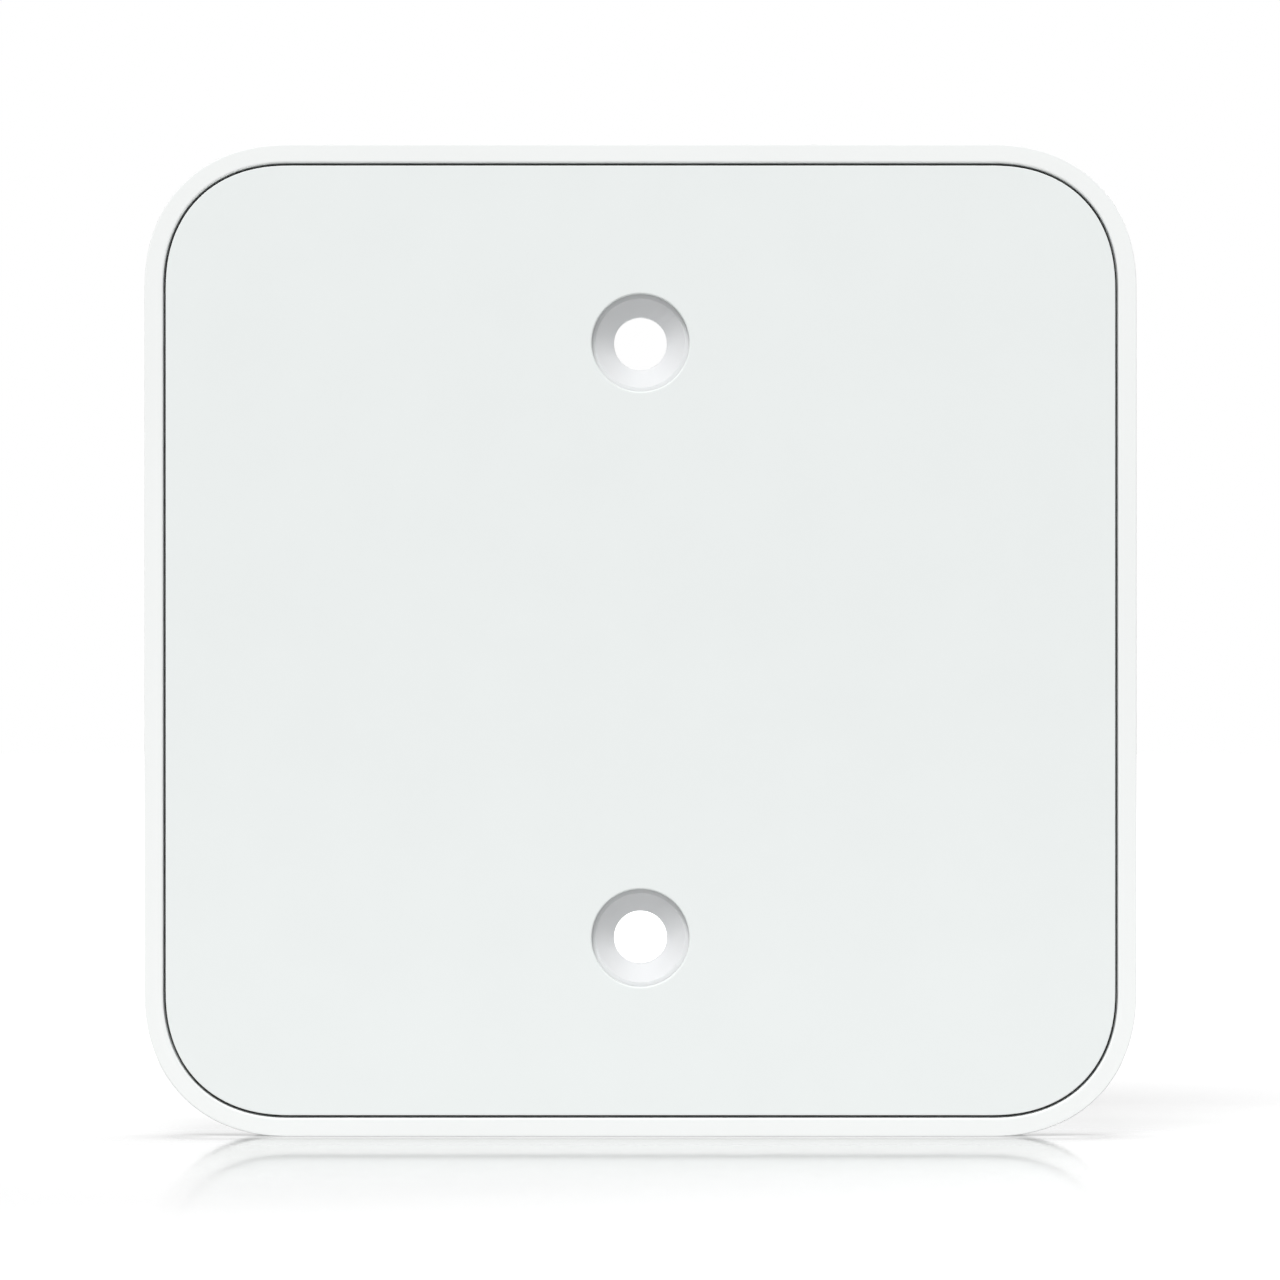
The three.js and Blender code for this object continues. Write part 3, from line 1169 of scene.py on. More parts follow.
@dataclass
class RimFrame:
    """The white moulded rim round the grip pad, with its side wall and the tray's snap groove.

    Attributes:
        front: Depth of its front face.
        back: Depth of its back edge.
        groove_front: Depth of the snap groove's front side.
        seam: How far its inner edge stands off the seam's middle.
        groove: How far the snap groove reaches past the seam.
        groove_depth: The snap groove's size along the depth.
        rear: How far the opening behind the groove reaches past the seam.
        crown: Radius of its outer front edge.
        edge: Radius of its hidden edges.
        seam_edge: Radius of its front edge at the seam.
        points: Points of the outline that it is swept round.
    """

    front: float = field(default_factory=lambda: face("rim_frame", 0))
    back: float = field(default_factory=lambda: face("rim_frame", 1))
    groove_front: float = field(default_factory=lambda: face("pad_film", 1))
    seam: float = 0.125 * MM
    groove: float = 1.0 * MM
    groove_depth: float = 1.24 * MM
    rear: float = 0.45 * MM
    crown: float = 0.1 * MM
    edge: float = 0.12 * MM
    seam_edge: float = 0.22 * MM
    points: int = 144

    def section(self) -> list[Point]:
        """Makes the rim's closed section.

        Returns:
            The (outwards, depth) points.
        """
        groove_back = self.groove_front + self.groove_depth
        return filleted(
            [
                (RIM_WIDTH, self.front, self.crown),
                (RIM_WIDTH, self.back, 2.5 * self.edge),
                (self.rear, self.back, 2 * self.edge),
                (self.rear, groove_back, self.edge),
                (self.groove, groove_back, self.edge),
                (self.groove, self.groove_front, self.edge),
                (self.seam, self.groove_front, self.edge),
                (self.seam, self.front, self.seam_edge),
            ],
            closed=True,
        )

    def build(self) -> bpy.types.Object:
        """Sweeps the section round the seam.

        Returns:
            The dressed rim.
        """
        section = self.section()
        joints = [(index, (index + 1) % len(section)) for index in range(len(section))]
        points = [(across, depth, 0.0) for across, depth in section]
        rim = mesh_object("rim_moulding", points, joints)
        values = {
            "Half Width": SEAM.half,
            "Corner Reach": SEAM.reach,
            "Corner Power": SEAM.power,
            "Points": self.points,
            "Finish": finish_for(Slot.WHITE_MOULDING),
        }
        run_tree(rim, sweep_tree(), values)
        work = bmesh.new()
        work.from_mesh(rim.data)
        clean(work)
        work.to_mesh(rim.data)
        work.free()
        smooth(rim)
        return dress(rim, Slot.WHITE_MOULDING, "rim_frame")


@dataclass
class GripPad:
    """The pale silicone pad that is flush with the rim, and the black film that bonds it and paints shade
    into the seam.

    Attributes:
        front: Depth of the pad's front face.
        back: Depth of its back face.
        film_front: Depth of the film's front face.
        film_back: Depth of its back face.
        inset: How far the pad's edge stands inside the seam's middle.
        edge: Radius of the pad's front edge at the seam.
        hole: Radius of its holes.
        lip: Radius of the rounding at a hole's mouth.
        film_reach: How far the film goes past the seam's middle, under the rim, so that its black lies at
            the bottom of the seam as painted shade.
        film_hole: Radius of the film's holes.
    """

    front: float = field(default_factory=lambda: face("grip_pad", 0))
    back: float = field(default_factory=lambda: face("grip_pad", 1))
    film_front: float = field(default_factory=lambda: face("pad_film", 0))
    film_back: float = field(default_factory=lambda: face("pad_film", 1))
    inset: float = 0.145 * MM
    edge: float = 0.08 * MM
    hole: float = 4.92 * MM
    lip: float = 0.19 * MM
    film_reach: float = 0.05 * MM
    film_hole: float = 5.2 * MM

    def pad(self) -> bpy.types.Object:
        """Builds the silicone pad.

        Returns:
            The dressed pad.
        """
        shell = ShellBuilder()
        below = self.edge / 2
        rim_path = edge_section(self.front, self.back, -4 * self.edge, self.edge, below)
        hole_path = edge_section(self.front, self.back, 3 * self.lip, self.lip, below, steps=9)
        rim = shell.wall(rim_path, lambda across: SEAM.outline(across - self.inset))
        shell.ends(rim, shell.holes(hole_path, self.hole, WALL_SCREWS))
        pad = shell.finish("silicone_pad")
        smooth(pad)
        return dress(pad, Slot.PALE_SILICONE, "grip_pad")

    def film(self) -> bpy.types.Object:
        """Builds the adhesive film, whose black is painted shade at the bottom of the seam.

        Returns:
            The dressed film.
        """
        shell = ShellBuilder()
        path = [(0.0, self.film_front), (0.0, self.film_back)]
        rim = shell.wall(path, lambda across: SEAM.outline(across + self.film_reach))
        shell.ends(rim, shell.holes(path, self.film_hole, WALL_SCREWS))
        film = shell.finish("adhesive_film")
        smooth(film)
        return dress(film, Slot.BLACK_FILM, "pad_film")


@dataclass
class MagnetTray:
    """The moulded tray: its floor, ribs, screw bosses, screw posts and magnet collars.

    Attributes:
        front: Depth of the floor's front face.
        boss_back: Depth of the screw bosses' ends.
        magnet_front: Depth of the magnets' front faces.
        plate_front: Depth of the back plate's front face.
        screw_tip: Depth of the plate screws' points.
        floor: The floor's thickness.
        reach: How far the floor goes past the seam's middle, into the rim's groove.
        edge: Radius of its small roundings.
        root: How far what stands on the floor is sunk into it.
        boss: Radius of the bosses round the wall screws.
        bore: Radius of their bores.
        draft: How much wider a bore is where it ends.
        cone: Radius of a countersink's mouth.
        collar: Radius of the collars round the magnets.
        pocket: Radius of the magnets' pockets.
        post: Radius of the plate screws' posts.
        pilot: Radius of their pilot holes.
        pilot_spare: How much deeper than the screw a pilot hole is.
        play: Gap under the magnets, and between the posts and the back plate.
        clearance: Gap between the collars and the back plate.
        rib: The ribs' thickness.
        rib_overlap: How far the ribs go past the seam's middle.
        rib_columns: The x of each upright rib.
        rib_rows: The z of each level rib.
        overrun: How far a cutter goes past what it cuts.
    """

    front: float = field(default_factory=lambda: face("magnet_tray", 0))
    boss_back: float = field(default_factory=lambda: face("magnet_tray", 1))
    magnet_front: float = field(default_factory=lambda: face("magnet_1", 0))
    plate_front: float = field(default_factory=lambda: face("back_plate", 0))
    screw_tip: float = field(default_factory=lambda: face("plate_screw_1", 0))
    floor: float = 1.2 * MM
    reach: float = 0.85 * MM
    edge: float = 0.15 * MM
    root: float = 0.5 * MM
    boss: float = 6.5 * MM
    bore: float = 2.67 * MM
    draft: float = 0.14 * MM
    cone: float = 4.5 * MM
    collar: float = 7.35 * MM
    pocket: float = 6.15 * MM
    post: float = 2.9 * MM
    pilot: float = 1.4 * MM
    pilot_spare: float = 0.5 * MM
    play: float = 0.02 * MM
    clearance: float = 0.15 * MM
    rib: float = 1.0 * MM
    rib_overlap: float = 0.3 * MM
    rib_columns: tuple[float, ...] = (-21 * MM, 0.0, 21 * MM)
    rib_rows: tuple[float, ...] = (-30 * MM, 0.0, 30 * MM)
    overrun: float = 1.0 * MM

    def build(self) -> bpy.types.Object:
        """Joins the floor and what stands on it, then cuts its pockets and holes.

        Returns:
            The dressed tray.
        """
        back = self.front + self.floor
        rooted = back - self.root
        collar_back = self.plate_front - self.clearance
        post_back = self.plate_front - self.play
        magnets = [middle(node) for node in MAGNET_NODES]
        screws = [middle(node) for node in PLATE_SCREW_NODES]
        tray = self.slab(back)
        for upright, places in ((True, self.rib_columns), (False, self.rib_rows)):
            combine(tray, self.ribs(rooted, collar_back, upright, places), Cut.JOIN)
        for name, radius, end, places in (
            ("bosses", self.boss, self.boss_back, WALL_SCREWS),
            ("posts", self.post, post_back, screws),
            ("collars", self.collar, collar_back, magnets),
        ):
            path = filleted([(0, rooted, 0), (radius, rooted, 0), (radius, end, 2 * self.edge), (0, end, 0)])
            combine(tray, self.standing(name, path, places), Cut.JOIN)
        for name, radius, end, places in (
            ("pockets", self.pocket, self.magnet_front - self.play, magnets),
            ("pilots", self.pilot, self.screw_tip - self.pilot_spare, screws),
        ):
            path = filleted([(0, end, 0), (radius, end, self.edge), (radius, 0, 0), (0, 0, 0)])
            combine(tray, self.standing(name, path, places), Cut.REMOVE)
        combine(tray, self.countersinks(), Cut.REMOVE)
        smooth(tray)
        # The tray's darker finish paints shade into its countersinks.
        return dress(tray, Slot.WHITE_MOULDING, "magnet_tray", finish=TRAY_MOULDING_PAINTED_SHADE)

    def slab(self, back: float) -> bpy.types.Object:
        """Builds the tray's floor, out to the edge that snaps into the rim.

        Args:
            back: Depth of its back face.

        Returns:
            The floor as one solid.
        """
        shell = ShellBuilder()
        path = edge_section(self.front, back, -4 * self.edge, self.edge, self.edge)
        shell.ends(shell.wall(path, lambda across: SEAM.outline(across + self.reach)))
        return shell.finish("tray_moulding")

    def standing(self, name: str, path: list[Point], places: Sequence[Point]) -> bpy.types.Object:
        """Turns a section and puts a copy of it at each place.

        Args:
            name: What the copies are.
            path: The section's (radius, depth) points, which start and end on the axis.
            places: The (x, z) of each copy.

        Returns:
            The copies as one object.
        """
        shell = ShellBuilder()
        shell.turned(path)
        return copies(name, shell.finish(f"one_of_{name}"), places)

    def ribs(self, front: float, back: float, upright: bool, places: Sequence[float]) -> bpy.types.Object:
        """Builds the ribs that run one way, with rounded crests.

        Args:
            front: Depth of their roots.
            back: Depth of their crests.
            upright: Whether they run along Z, and not along X.
            places: Where each lies, across its length.

        Returns:
            The ribs as one solid.
        """
        half = SEAM.half + self.rib_overlap
        size = (self.rib / 2, half) if upright else (half, self.rib / 2)
        bar = RoundRectangle(*size, corner=0.2 * self.rib, steps=3)
        shell = ShellBuilder()
        round_off = 1.5 * self.edge
        path = filleted([(0, front, 0), (0, back, round_off), (-self.rib / 2, back, 0)], steps=4)[:-1]
        shell.ends(shell.wall(path, bar.outline))
        spots = [(place, 0.0) if upright else (0.0, place) for place in places]
        return copies("ribs", shell.finish("one_rib"), spots)

    def countersinks(self) -> bpy.types.Object:
        """Builds the cutter of the two 90 degree countersinks and their bores.

        Returns:
            The cutter.
        """
        straight = self.front + self.cone - self.bore
        path = filleted(
            [
                (0, self.front - self.overrun, 0),
                (self.cone, self.front - self.overrun, 0),
                (self.cone, self.front, 0),
                (self.bore, straight, 2 * self.edge),
                (self.bore + self.draft, self.overrun, 0),
                (0, self.overrun, 0),
            ]
        )
        return self.standing("countersinks", path, WALL_SCREWS)


@dataclass
class BackPlate:
    """The pressed steel plate: a flange with a raised pad that bears on the wall.

    Attributes:
        front: Depth of the flange's front face.
        wall: Depth of the raised pad's back face.
        sheet: The steel's thickness.
        reach: How far the flange goes past the seam's middle.
        edge: Radius of its cut edges.
        raised: The raised pad's outline on the wall.
        bend: Inner radius of the bend between the flange and the rise.
        lean: How far across the inner face lies from the outer one, as a share of the sheet.
        wall_hole: Radius of the wall screws' holes.
        screw_hole: Radius of the plate screws' holes.
        hole_steps: Steps in the rounding of a hole's edge.
        segments: Sides of each hole.
    """

    front: float = field(default_factory=lambda: face("back_plate", 0))
    wall: float = field(default_factory=lambda: face("back_plate", 1))
    sheet: float = 1.2 * MM
    reach: float = 0.05 * MM
    edge: float = 0.18 * MM
    raised: RoundRectangle = RoundRectangle(21 * MM, 39 * MM, 7 * MM)
    bend: float = 1.1 * MM
    lean: float = 0.55
    wall_hole: float = 2.87 * MM
    screw_hole: float = 1.5 * MM
    hole_steps: int = 4
    segments: int = 48

    def build(self) -> bpy.types.Object:
        """Builds both faces of the sheet, its bends, its edge and its holes.

        Returns:
            The dressed plate.
        """
        shell = ShellBuilder()
        flange_back = self.front + self.sheet
        inner_wall = self.wall - self.sheet
        rise = self.wall - flange_back
        lean = self.lean * self.sheet
        far = 4 * self.bend
        back_path = filleted(
            [
                (rise + far, flange_back, 0),
                (rise, flange_back, self.bend),
                (0, self.wall, 1.4 * self.bend),
                (-far, self.wall, 0),
            ]
        )[1:-1]
        front_path = filleted(
            [
                (rise + far, self.front, 0),
                (rise - lean, self.front, self.bend + self.sheet),
                (-lean, inner_wall, 0.3 * self.bend),
                (-far, inner_wall, 0),
            ]
        )[1:-1]
        back = shell.wall(back_path, self.raised.outline)
        front = shell.wall(front_path, self.raised.outline)
        edge_path = edge_section(self.front, flange_back, -4 * self.edge, self.edge, self.edge)
        rim = shell.wall(edge_path, lambda across: SEAM.outline(across + self.reach))
        screws = [middle(node) for node in PLATE_SCREW_NODES]
        small = self.punched(shell, self.screw_hole, (self.front, flange_back), screws)
        large = self.punched(shell, self.wall_hole, (inner_wall, self.wall), WALL_SCREWS)
        shell.flat(rim[0], front[0], *[rings[0] for rings in small])
        shell.flat(rim[-1], back[0], *[rings[-1] for rings in small])
        shell.flat(front[-1], *[rings[0] for rings in large])
        shell.flat(back[-1], *[rings[-1] for rings in large])
        plate = shell.finish("pressed_plate")
        smooth(plate)
        return dress(plate, Slot.ZINC_STEEL, "back_plate")

    def punched(
        self, shell: ShellBuilder, radius: float, depths: Point, places: Sequence[Point]
    ) -> list[list[Ring]]:
        """Adds the walls of round holes, with their punched edges rounded.

        Args:
            shell: The plate's shell.
            radius: The holes' radius.
            depths: The depths of the sheet's front and back faces.
            places: The (x, z) of each hole.

        Returns:
            The rings of each hole, from the front to the back.
        """
        path = edge_section(*depths, 3 * self.edge, self.edge, self.edge, steps=self.hole_steps)
        return shell.holes(path, radius, places, self.segments)


@dataclass
class Magnets:
    """The eight plated disc magnets, one in each collar of the tray.

    Attributes:
        front: Depth of their front faces.
        back: Depth of their back faces.
        radius: A disc's radius.
        edge: Radius of its rounded edges.
    """

    front: float = field(default_factory=lambda: face("magnet_1", 0))
    back: float = field(default_factory=lambda: face("magnet_1", 1))
    radius: float = 6.0 * MM
    edge: float = 0.3 * MM

    def build(self) -> bpy.types.Object:
        """Turns one disc and puts it in each collar.

        Returns:
            The dressed magnets, as one mesh.
        """
        shell = ShellBuilder()
        shell.turned(
            filleted(
                [
                    (0, self.front, 0),
                    (self.radius, self.front, self.edge),
                    (self.radius, self.back, self.edge),
                    (0, self.back, 0),
                ]
            )
        )
        places = [middle(node) for node in MAGNET_NODES]
        magnets = copies("disc_magnets", shell.finish("one_magnet"), places, finish_for(Slot.NICKEL))
        smooth(magnets)
        return dress(magnets, Slot.NICKEL, *MAGNET_NODES)


@dataclass
class PlateScrews:
    """The six self-tapping pan-head screws that hold the back plate to the tray.

    Attributes:
        tip: Depth of the point.
        top: Depth of the head's crown.
        head: The head's radius.
        head_height: The head's height, with its crown.
        head_rim: Height of the head's straight side.
        lip: Rounding of the head's lower edge.
        dome_power: How full the crown is: 1 is an ellipse, and less is boxier.
        dome_steps: Steps from the head's side to its crown.
        thread: The thread's outer radius.
        core: The shank's radius between the threads.
        pitch: The thread's pitch.
        flank: Half of a thread ridge's width, as a share of the pitch.
        rows: Rows of faces along the shank.
        point: Length of the tapered point.
        blunt: How thick the point starts, as a share of the shank.
        recess_depth: Depth of the cross recess.
        arm: Length of the recess's arms.
        arm_half: Half their width.
        segments: Sides of each ring.
        seed: The seed of the screws' turns.
    """

    tip: float = field(default_factory=lambda: face("plate_screw_1", 0))
    top: float = field(default_factory=lambda: face("plate_screw_1", 1))
    head: float = 2.3 * MM
    head_height: float = 1.5 * MM
    head_rim: float = 0.6 * MM
    lip: float = 0.12 * MM
    dome_power: float = 0.8
    dome_steps: int = 12
    thread: float = 1.25 * MM
    core: float = 0.92 * MM
    pitch: float = 0.8 * MM
    flank: float = 0.24
    rows: int = 44
    point: float = 0.7 * MM
    blunt: float = 0.25
    recess_depth: float = 0.85 * MM
    arm: float = 1.2 * MM
    arm_half: float = 0.3 * MM
    segments: int = 48
    seed: int = 11

    def build(self) -> bpy.types.Object:
        """Makes one screw and puts a copy in each hole, each turned to where it came tight.

        Returns:
            The dressed screws, as one mesh.
        """
        screw = self.shank_and_head()
        combine(screw, self.recess(), Cut.REMOVE)
        places = [middle(node) for node in PLATE_SCREW_NODES]
        finish = finish_for(Slot.SCREW_STEEL)
        screws = copies("plate_screws", screw, places, finish, 2 * math.pi, self.seed)
        smooth(screws)
        return dress(screws, Slot.SCREW_STEEL, *PLATE_SCREW_NODES)

    def thread_ring(self, depth: float, seat: float) -> Outline:
        """Makes one ring of the thread, whose crest climbs with the angle.

        Args:
            depth: Where the ring lies.
            seat: Depth of the head's underside.

        Returns:
            The ring's points.
        """
        taper = min(1.0, self.blunt + (1 - self.blunt) * (depth - self.tip) / self.point)
        fade = max(0.0, min(1.0, (seat - depth) / (0.5 * self.pitch)))
        points = []
        for step in range(self.segments):
            turn = step / self.segments
            phase = ((depth - self.tip) / self.pitch - turn) % 1.0
            ridge = max(0.0, 1.0 - abs(phase - 0.5) / self.flank)
            radius = (self.core + (self.thread - self.core) * ridge * fade) * taper
            angle = 2 * math.pi * turn
            points.append((radius * math.cos(angle), radius * math.sin(angle)))
        return points

    def shank_and_head(self) -> bpy.types.Object:
        """Builds the threaded shank and the domed head as one shell.

        Returns:
            The screw without its recess.
        """
        shell = ShellBuilder()
        seat = self.top - self.head_height
        depths = [self.tip + (seat - self.tip) * row / self.rows for row in range(self.rows + 1)]
        rings = [shell.ring(self.thread_ring(depth, seat), depth) for depth in depths]
        dome = self.head_height - self.head_rim
        side = seat + self.head_rim
        path = [
            (self.head - self.lip, seat),
            (self.head - 0.3 * self.lip, seat + 0.3 * self.lip),
            (self.head, seat + self.lip),
        ]
        for step in range(self.dome_steps):
            angle = math.radians(90 / self.dome_steps * step)
            across = self.head * math.cos(angle) ** self.dome_power
            path.append((across, side + dome * math.sin(angle)))
        rings += [shell.ring(circle(radius, segments=self.segments), depth) for radius, depth in path]
        shell.sleeve(rings)
        shell.cap(rings[0], self.tip)
        shell.cap(rings[-1], self.top)
        return shell.finish("one_screw")

    def recess(self) -> bpy.types.Object:
        """Builds the cutter of the cross recess, which narrows towards its floor.

        Returns:
            The cutter.
        """
        shell = ShellBuilder()
        floor = self.top - self.recess_depth
        levels = [(floor, 0.55), (self.top, 1.0), (self.top + 0.5 * MM, 1.3)]
        shell.ends(shell.sleeve([shell.ring(self.cross(scale), depth) for depth, scale in levels]))
        return shell.finish("recess_cutter")

    def cross(self, scale: float) -> Outline:
        """Makes the recess's outline.

        Args:
            scale: Its size, as a share of its size at the head's crown.

        Returns:
            The (x, z) points, anticlockwise.
        """
        arm, half = self.arm, self.arm_half
        quarter = [(arm, -half), (arm, half), (half * 1.3, half * 1.3)]
        points = []
        for corner in range(4):
            turn = Matrix.Rotation(corner * math.pi / 2, 2)
            points += [tuple(turn @ Vector(point) * scale) for point in quarter]
        return points


@dataclass
class FoamStrip:
    """A foam strip that steadies one side of the plate on the wall.

    Attributes:
        side: Which side it is on.
        corner: Radius of its corners.
        edge: How far its cut edges are rounded.
        voxel: Grid of its remeshed surface.
        pore_size: Size of its pores.
        pore_depth: How deep they are sunk.
        unevenness: How far the surface sinks in its soft places.
    """

    side: Side
    corner: float = 2.0 * MM
    edge: float = 0.45 * MM
    voxel: float = 0.3 * MM
    pore_size: float = 0.85 * MM
    pore_depth: float = 0.16 * MM
    unevenness: float = 0.08 * MM

    def build(self) -> bpy.types.Object:
        """Builds the strip and sinks its pores.

        Returns:
            The dressed strip.
        """
        node = f"wall_strip_{self.side.value}"
        low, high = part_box(node)
        half_width, half_height = (high.x - low.x) / 2, (high.z - low.z) / 2
        outline = RoundRectangle(half_width, half_height, self.corner, x=(low.x + high.x) / 2)
        path = edge_section(low.y, high.y, -3 * self.edge, self.edge, self.edge)
        shell = ShellBuilder()
        shell.ends(shell.wall(path, outline.outline))
        strip = shell.finish(f"foam_strip_{self.side.value}")
        remesh = strip.modifiers.new("remesh", "REMESH")
        remesh.mode = "VOXEL"
        remesh.voxel_size = self.voxel
        take_result(strip)
        values = {
            "Pore Size": self.pore_size,
            "Pore Depth": self.pore_depth,
            "Unevenness": self.unevenness,
            "Finish": finish_for(Slot.GREY_FOAM),
        }
        run_tree(strip, foam_tree(), values)
        strip.data.shade_smooth()
        dress(strip, Slot.GREY_FOAM, node)
        return strip


# ---- Studio ----

# The table's acrylic, each as (share of its reach from the object, value): how much of it is
# gloss, how much painted light it glows with, and how light its painted contact shadow leaves it.
GLOSS_STOPS = [
    (0.0, 0.4),
    (0.012, 0.45),
    (0.03, 0.74),
    (0.32, 0.48),
    (0.43, 0.3),
    (0.6, 0.14),
    (0.72, 0.06),
    (1.0, 0.0),
]
PAINTED_GLOW_STOPS = [
    (0.0, 0.24),
    (0.015, 0.16),
    (0.03, 0.08),
    (0.18, 0.08),
    (0.28, 0.13),
    (0.36, 0.16),
    (0.67, 0.185),
    (0.9, 0.205),
    (1.0, 0.6),
]
PAINTED_SHADOW_STOPS = [
    (0.0, 0.9),
    (0.04, 0.81),
    (0.1, 0.79),
    (0.15, 0.86),
    (0.225, 0.92),
    (0.35, 0.955),
    (0.75, 0.97),
    (1.0, 1.0),
]


@dataclass(frozen=True)
class SoftBox:
    """A square light that faces the object.

    Attributes:
        name: The light's name.
        towards: Where it is, seen from the object.
        brightness: How bright it makes a white face that is square to it.
        distance: How far away it is.
        size: Its width.
    """

    name: str
    towards: tuple[float, float, float]
    brightness: float
    distance: float
    size: float

    def hang(self) -> None:
        """Hangs the light."""
        light = bpy.data.lights.new(self.name, "AREA")
        light.size = self.size
        light.energy = self.brightness * (math.pi * self.distance) ** 2
        made = put_in_scene(self.name, light)
        direction = Vector(self.towards).normalized()
        made.location = direction * self.distance
        made.rotation_euler = direction.to_track_quat("Z", "Y").to_euler()
        made.visible_camera = False


@dataclass(frozen=True)
class LowStrip:
    """A long low strip light that lies in front and lifts the lower part of the front face.

    Attributes:
        brightness: How bright it makes a white face beside it.
        distance: How far it is from the front face.
        length: Its length.
        height: Its height over the table.
    """

    brightness: float = 0.072
    distance: float = 0.04
    length: float = 0.6
    height: float = 0.004

    def lay(self, front: Vector, table: float, pieces: Sequence[bpy.types.Object]) -> None:
        """Lays the light on the table.

        Args:
            front: The middle of the object's front face.
            table: The table's height.
            pieces: The pieces that it lights. It doesn't light the table.
        """
        light = bpy.data.lights.new("low_strip", "AREA")
        light.shape = "RECTANGLE"
        light.size = self.length
        light.size_y = self.height
        light.energy = self.brightness * math.pi**2 * self.distance * self.length / 2
        made = put_in_scene("low_strip", light)
        made.location = (front.x, front.y - self.distance, table + self.height / 2)
        made.rotation_euler = (math.pi / 2, 0.0, 0.0)
        made.visible_camera = False
        made.visible_glossy = False
        lit = bpy.data.collections.new("lit_by_low_strip")
        for piece in pieces:
            lit.objects.link(piece)
        made.light_linking.receiver_collection = lit


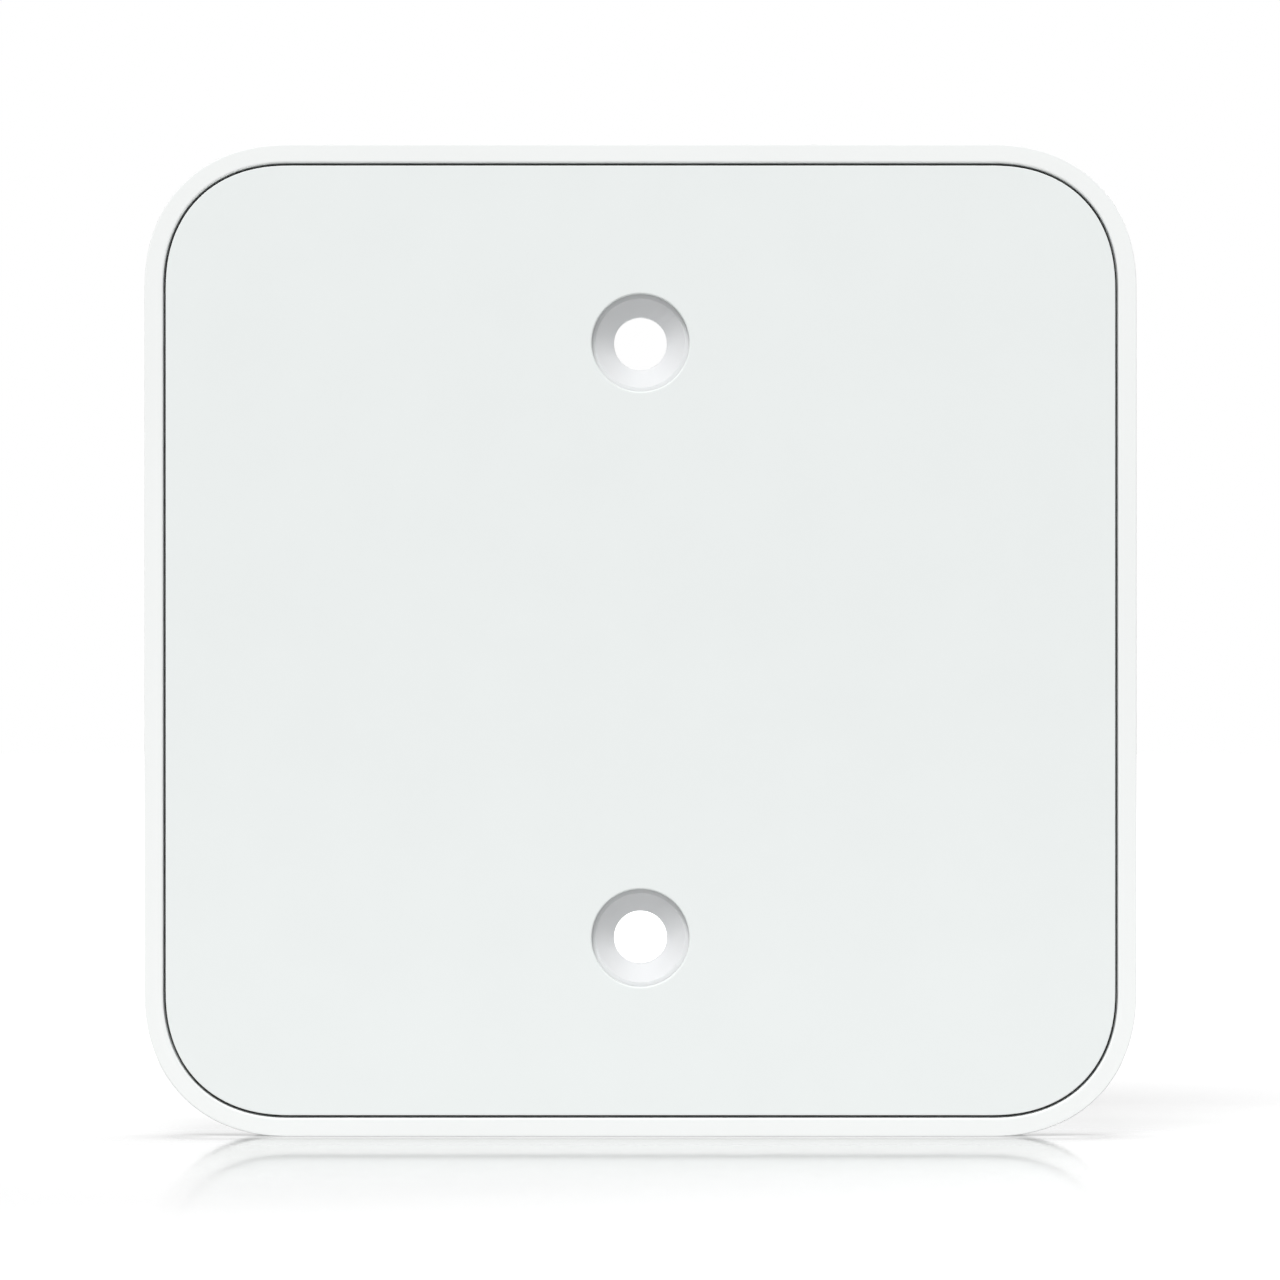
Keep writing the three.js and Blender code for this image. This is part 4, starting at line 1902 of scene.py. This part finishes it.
@dataclass
class Studio:
    """A pale glossy table, soft light all round and a long lens straight in front.

    Attributes:
        distance: From the object's front face to the camera.
        view_width: Width of the view at the object's front face.
        sensor: The camera's sensor width, in millimetres.
        aim: The (x, z) that the camera looks at.
        ambient: Light that reaches matt surfaces from all round.
        key: The large light from the upper left front.
        back: The light on the object's back.
        strip: The light on the lower part of its front.
        table_half: Half the table's width.
        contact: Half the size of the patch under the object's front edge.
        gloss_reach: How far from that patch the table's gloss has faded out.
        painted_shadow_reach: How far from that patch its painted shadow has faded out.
        acrylic_white: How much light the table's matt part sends back.
        acrylic_roughness: Roughness of its gloss.
    """

    distance: float = 0.9
    view_width: float = 129.0 * MM
    sensor: float = 36.0
    aim: tuple[float, float] = (-0.05 * MM, 0.042 * MM)
    ambient: float = 0.512
    key: SoftBox = SoftBox("key_box", (-0.1, -0.437, 0.48), brightness=0.705, distance=6.0, size=2.55)
    back: SoftBox = SoftBox("back_box", (0.35, 0.8, 0.5), brightness=0.35, distance=1.5, size=0.8)
    strip: LowStrip = LowStrip()
    table_half: float = 3.0
    contact: tuple[float, float] = (43 * MM, 0.5 * MM)
    gloss_reach: float = 170 * MM
    painted_shadow_reach: float = 40 * MM
    acrylic_white: float = 0.75
    acrylic_roughness: float = 0.065

    def build(self, pieces: Sequence[bpy.types.Object]) -> None:
        """Sets the camera, the lights, the surroundings and the table.

        Args:
            pieces: The pieces of the object.
        """
        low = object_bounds()[0]
        front = Vector((0.0, low[1], 0.0))
        self.camera(front)
        self.key.hang()
        self.back.hang()
        self.strip.lay(front, low[2], pieces)
        self.surroundings()
        self.table(low[2], low[1])
        bpy.context.scene.view_settings.view_transform = "Standard"

    def camera(self, front: Vector) -> None:
        """Puts the camera straight in front of the object.

        Args:
            front: The middle of the object's front face.
        """
        lens = bpy.data.cameras.new("camera")
        lens.sensor_width = self.sensor
        lens.lens = self.sensor * self.distance / self.view_width
        lens.clip_start = 0.01
        made = put_in_scene("camera", lens)
        made.location = front + Vector((self.aim[0], -self.distance, self.aim[1]))
        made.rotation_euler = (math.pi / 2, 0.0, 0.0)
        bpy.context.scene.camera = made

    def surroundings(self) -> None:
        """Makes a white room, whose walls darken towards the ceiling in glossy surfaces."""
        world = bpy.data.worlds.new("white_room")
        world.use_nodes = True
        bpy.context.scene.world = world
        room = NodeWriter(world.node_tree)
        around = room.node("ShaderNodeTexCoord").outputs["Generated"]
        height = room.node("ShaderNodeSeparateXYZ", {"Vector": around}).outputs["Z"]
        walls = room.node(
            "ShaderNodeMapRange",
            {"Value": height, "From Min": 0.2, "From Max": 0.8, "To Min": 1.12, "To Max": 0.35},
            interpolation_type="SMOOTHSTEP",
        )
        shades = (walls.outputs["Result"], (self.ambient,) * 3 + (1.0,), (1.0, 1.0, 1.0, 1.0))
        seen, matt, white = [
            room.node("ShaderNodeBackground", {"Color": shade}).outputs["Background"]
            for shade in shades
        ]
        ray = room.node("ShaderNodeLightPath").outputs
        reached = room.node("ShaderNodeMixShader", {"Fac": ray["Is Diffuse Ray"], 1: seen, 2: matt})
        feeds = {"Fac": ray["Is Camera Ray"], 1: reached.outputs["Shader"], 2: white}
        whole = room.node("ShaderNodeMixShader", feeds).outputs["Shader"]
        output = world.node_tree.nodes["World Output"]
        world.node_tree.nodes.remove(world.node_tree.nodes["Background"])
        world.node_tree.links.new(whole, output.inputs["Surface"])

    def table(self, height: float, front: float) -> None:
        """Lays the pale glossy table that the object stands on.

        Args:
            height: The table's height.
            front: Depth of the object's front edge.
        """
        half = self.table_half
        corners = [(-half, -half), (half, -half), (half, half), (-half, half)]
        floor = mesh_object("table_top", [(x, y, height) for x, y in corners], faces=[(0, 1, 2, 3)])
        floor.visible_diffuse = False
        floor.data.materials.append(self.acrylic(front))
        floor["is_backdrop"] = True

    def acrylic(self, front: float) -> bpy.types.Material:
        """Builds the table's glossy acrylic, which glows with painted light.

        Its gloss fades away from the object, and a painted shadow darkens it softly where the object meets
        it.

        Args:
            front: Depth of the object's front edge.

        Returns:
            The material.
        """
        graph = FinishGraph("underlit_acrylic")
        graph.tree.nodes.remove(graph.shader)
        away = self.distance_from_contact(graph, front)
        far = graph.spread(away, 0.0, 1.0, (0.0, self.gloss_reach))
        near = graph.spread(away, 0.0, 1.0, (0.0, self.painted_shadow_reach))
        mirror = graph.curve(far, GLOSS_STOPS)
        # Painted light: the table glows, most next to the object and far from it, though no lamp lights it.
        light = graph.curve(far, PAINTED_GLOW_STOPS)
        # tone is a painted contact shadow: it darkens the matt part, the glow and the gloss near the object.
        tone = graph.curve(near, PAINTED_SHADOW_STOPS)
        shaded = graph.math("MULTIPLY", tone, self.acrylic_white)
        matt = graph.node("ShaderNodeBsdfDiffuse", {"Color": shaded})
        glow = graph.node("ShaderNodeEmission", {"Color": tone, "Strength": light})
        body = graph.node("ShaderNodeAddShader", {0: matt.outputs[0], 1: glow.outputs[0]})
        # The gloss is darkened by the same painted shadow.
        gloss = graph.node("ShaderNodeBsdfGlossy", {"Color": tone, "Roughness": self.acrylic_roughness})
        feeds = {"Fac": mirror, 1: body.outputs[0], 2: gloss.outputs[0]}
        mixed = graph.node("ShaderNodeMixShader", feeds)
        output = graph.tree.nodes["Material Output"]
        graph.tree.links.new(mixed.outputs[0], output.inputs["Surface"])
        return graph.material

    def distance_from_contact(self, graph: FinishGraph, front: float) -> Socket:
        """Measures how far a point of the table is from where the object meets it.

        Args:
            graph: The table's finish.
            front: Depth of the object's front edge.

        Returns:
            The distance, in metres.
        """
        spot = graph.node("ShaderNodeSeparateXYZ", {"Vector": graph.place})
        squares = []
        for axis, half, centre in (("X", self.contact[0], 0.0), ("Y", self.contact[1], front)):
            offset = graph.math("ABSOLUTE", graph.math("SUBTRACT", spot.outputs[axis], centre))
            outside = graph.math("MAXIMUM", graph.math("SUBTRACT", offset, half), 0.0)
            squares.append(graph.math("MULTIPLY", outside, outside))
        return graph.math("SQRT", graph.math("ADD", *squares))


def main() -> None:
    """Builds the plate's sub-assemblies in their order, then the studio round them."""
    logging.basicConfig(level=logging.INFO, format="%(message)s")
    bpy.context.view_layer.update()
    pad = GripPad()
    pieces = [
        RimFrame().build(),
        pad.pad(),
        pad.film(),
        MagnetTray().build(),
        BackPlate().build(),
        Magnets().build(),
        PlateScrews().build(),
        *[FoamStrip(side).build() for side in Side],
    ]
    LOG.info("%d pieces built", len(pieces))
    Studio().build(pieces)


if __name__ == "__main__":
    main()
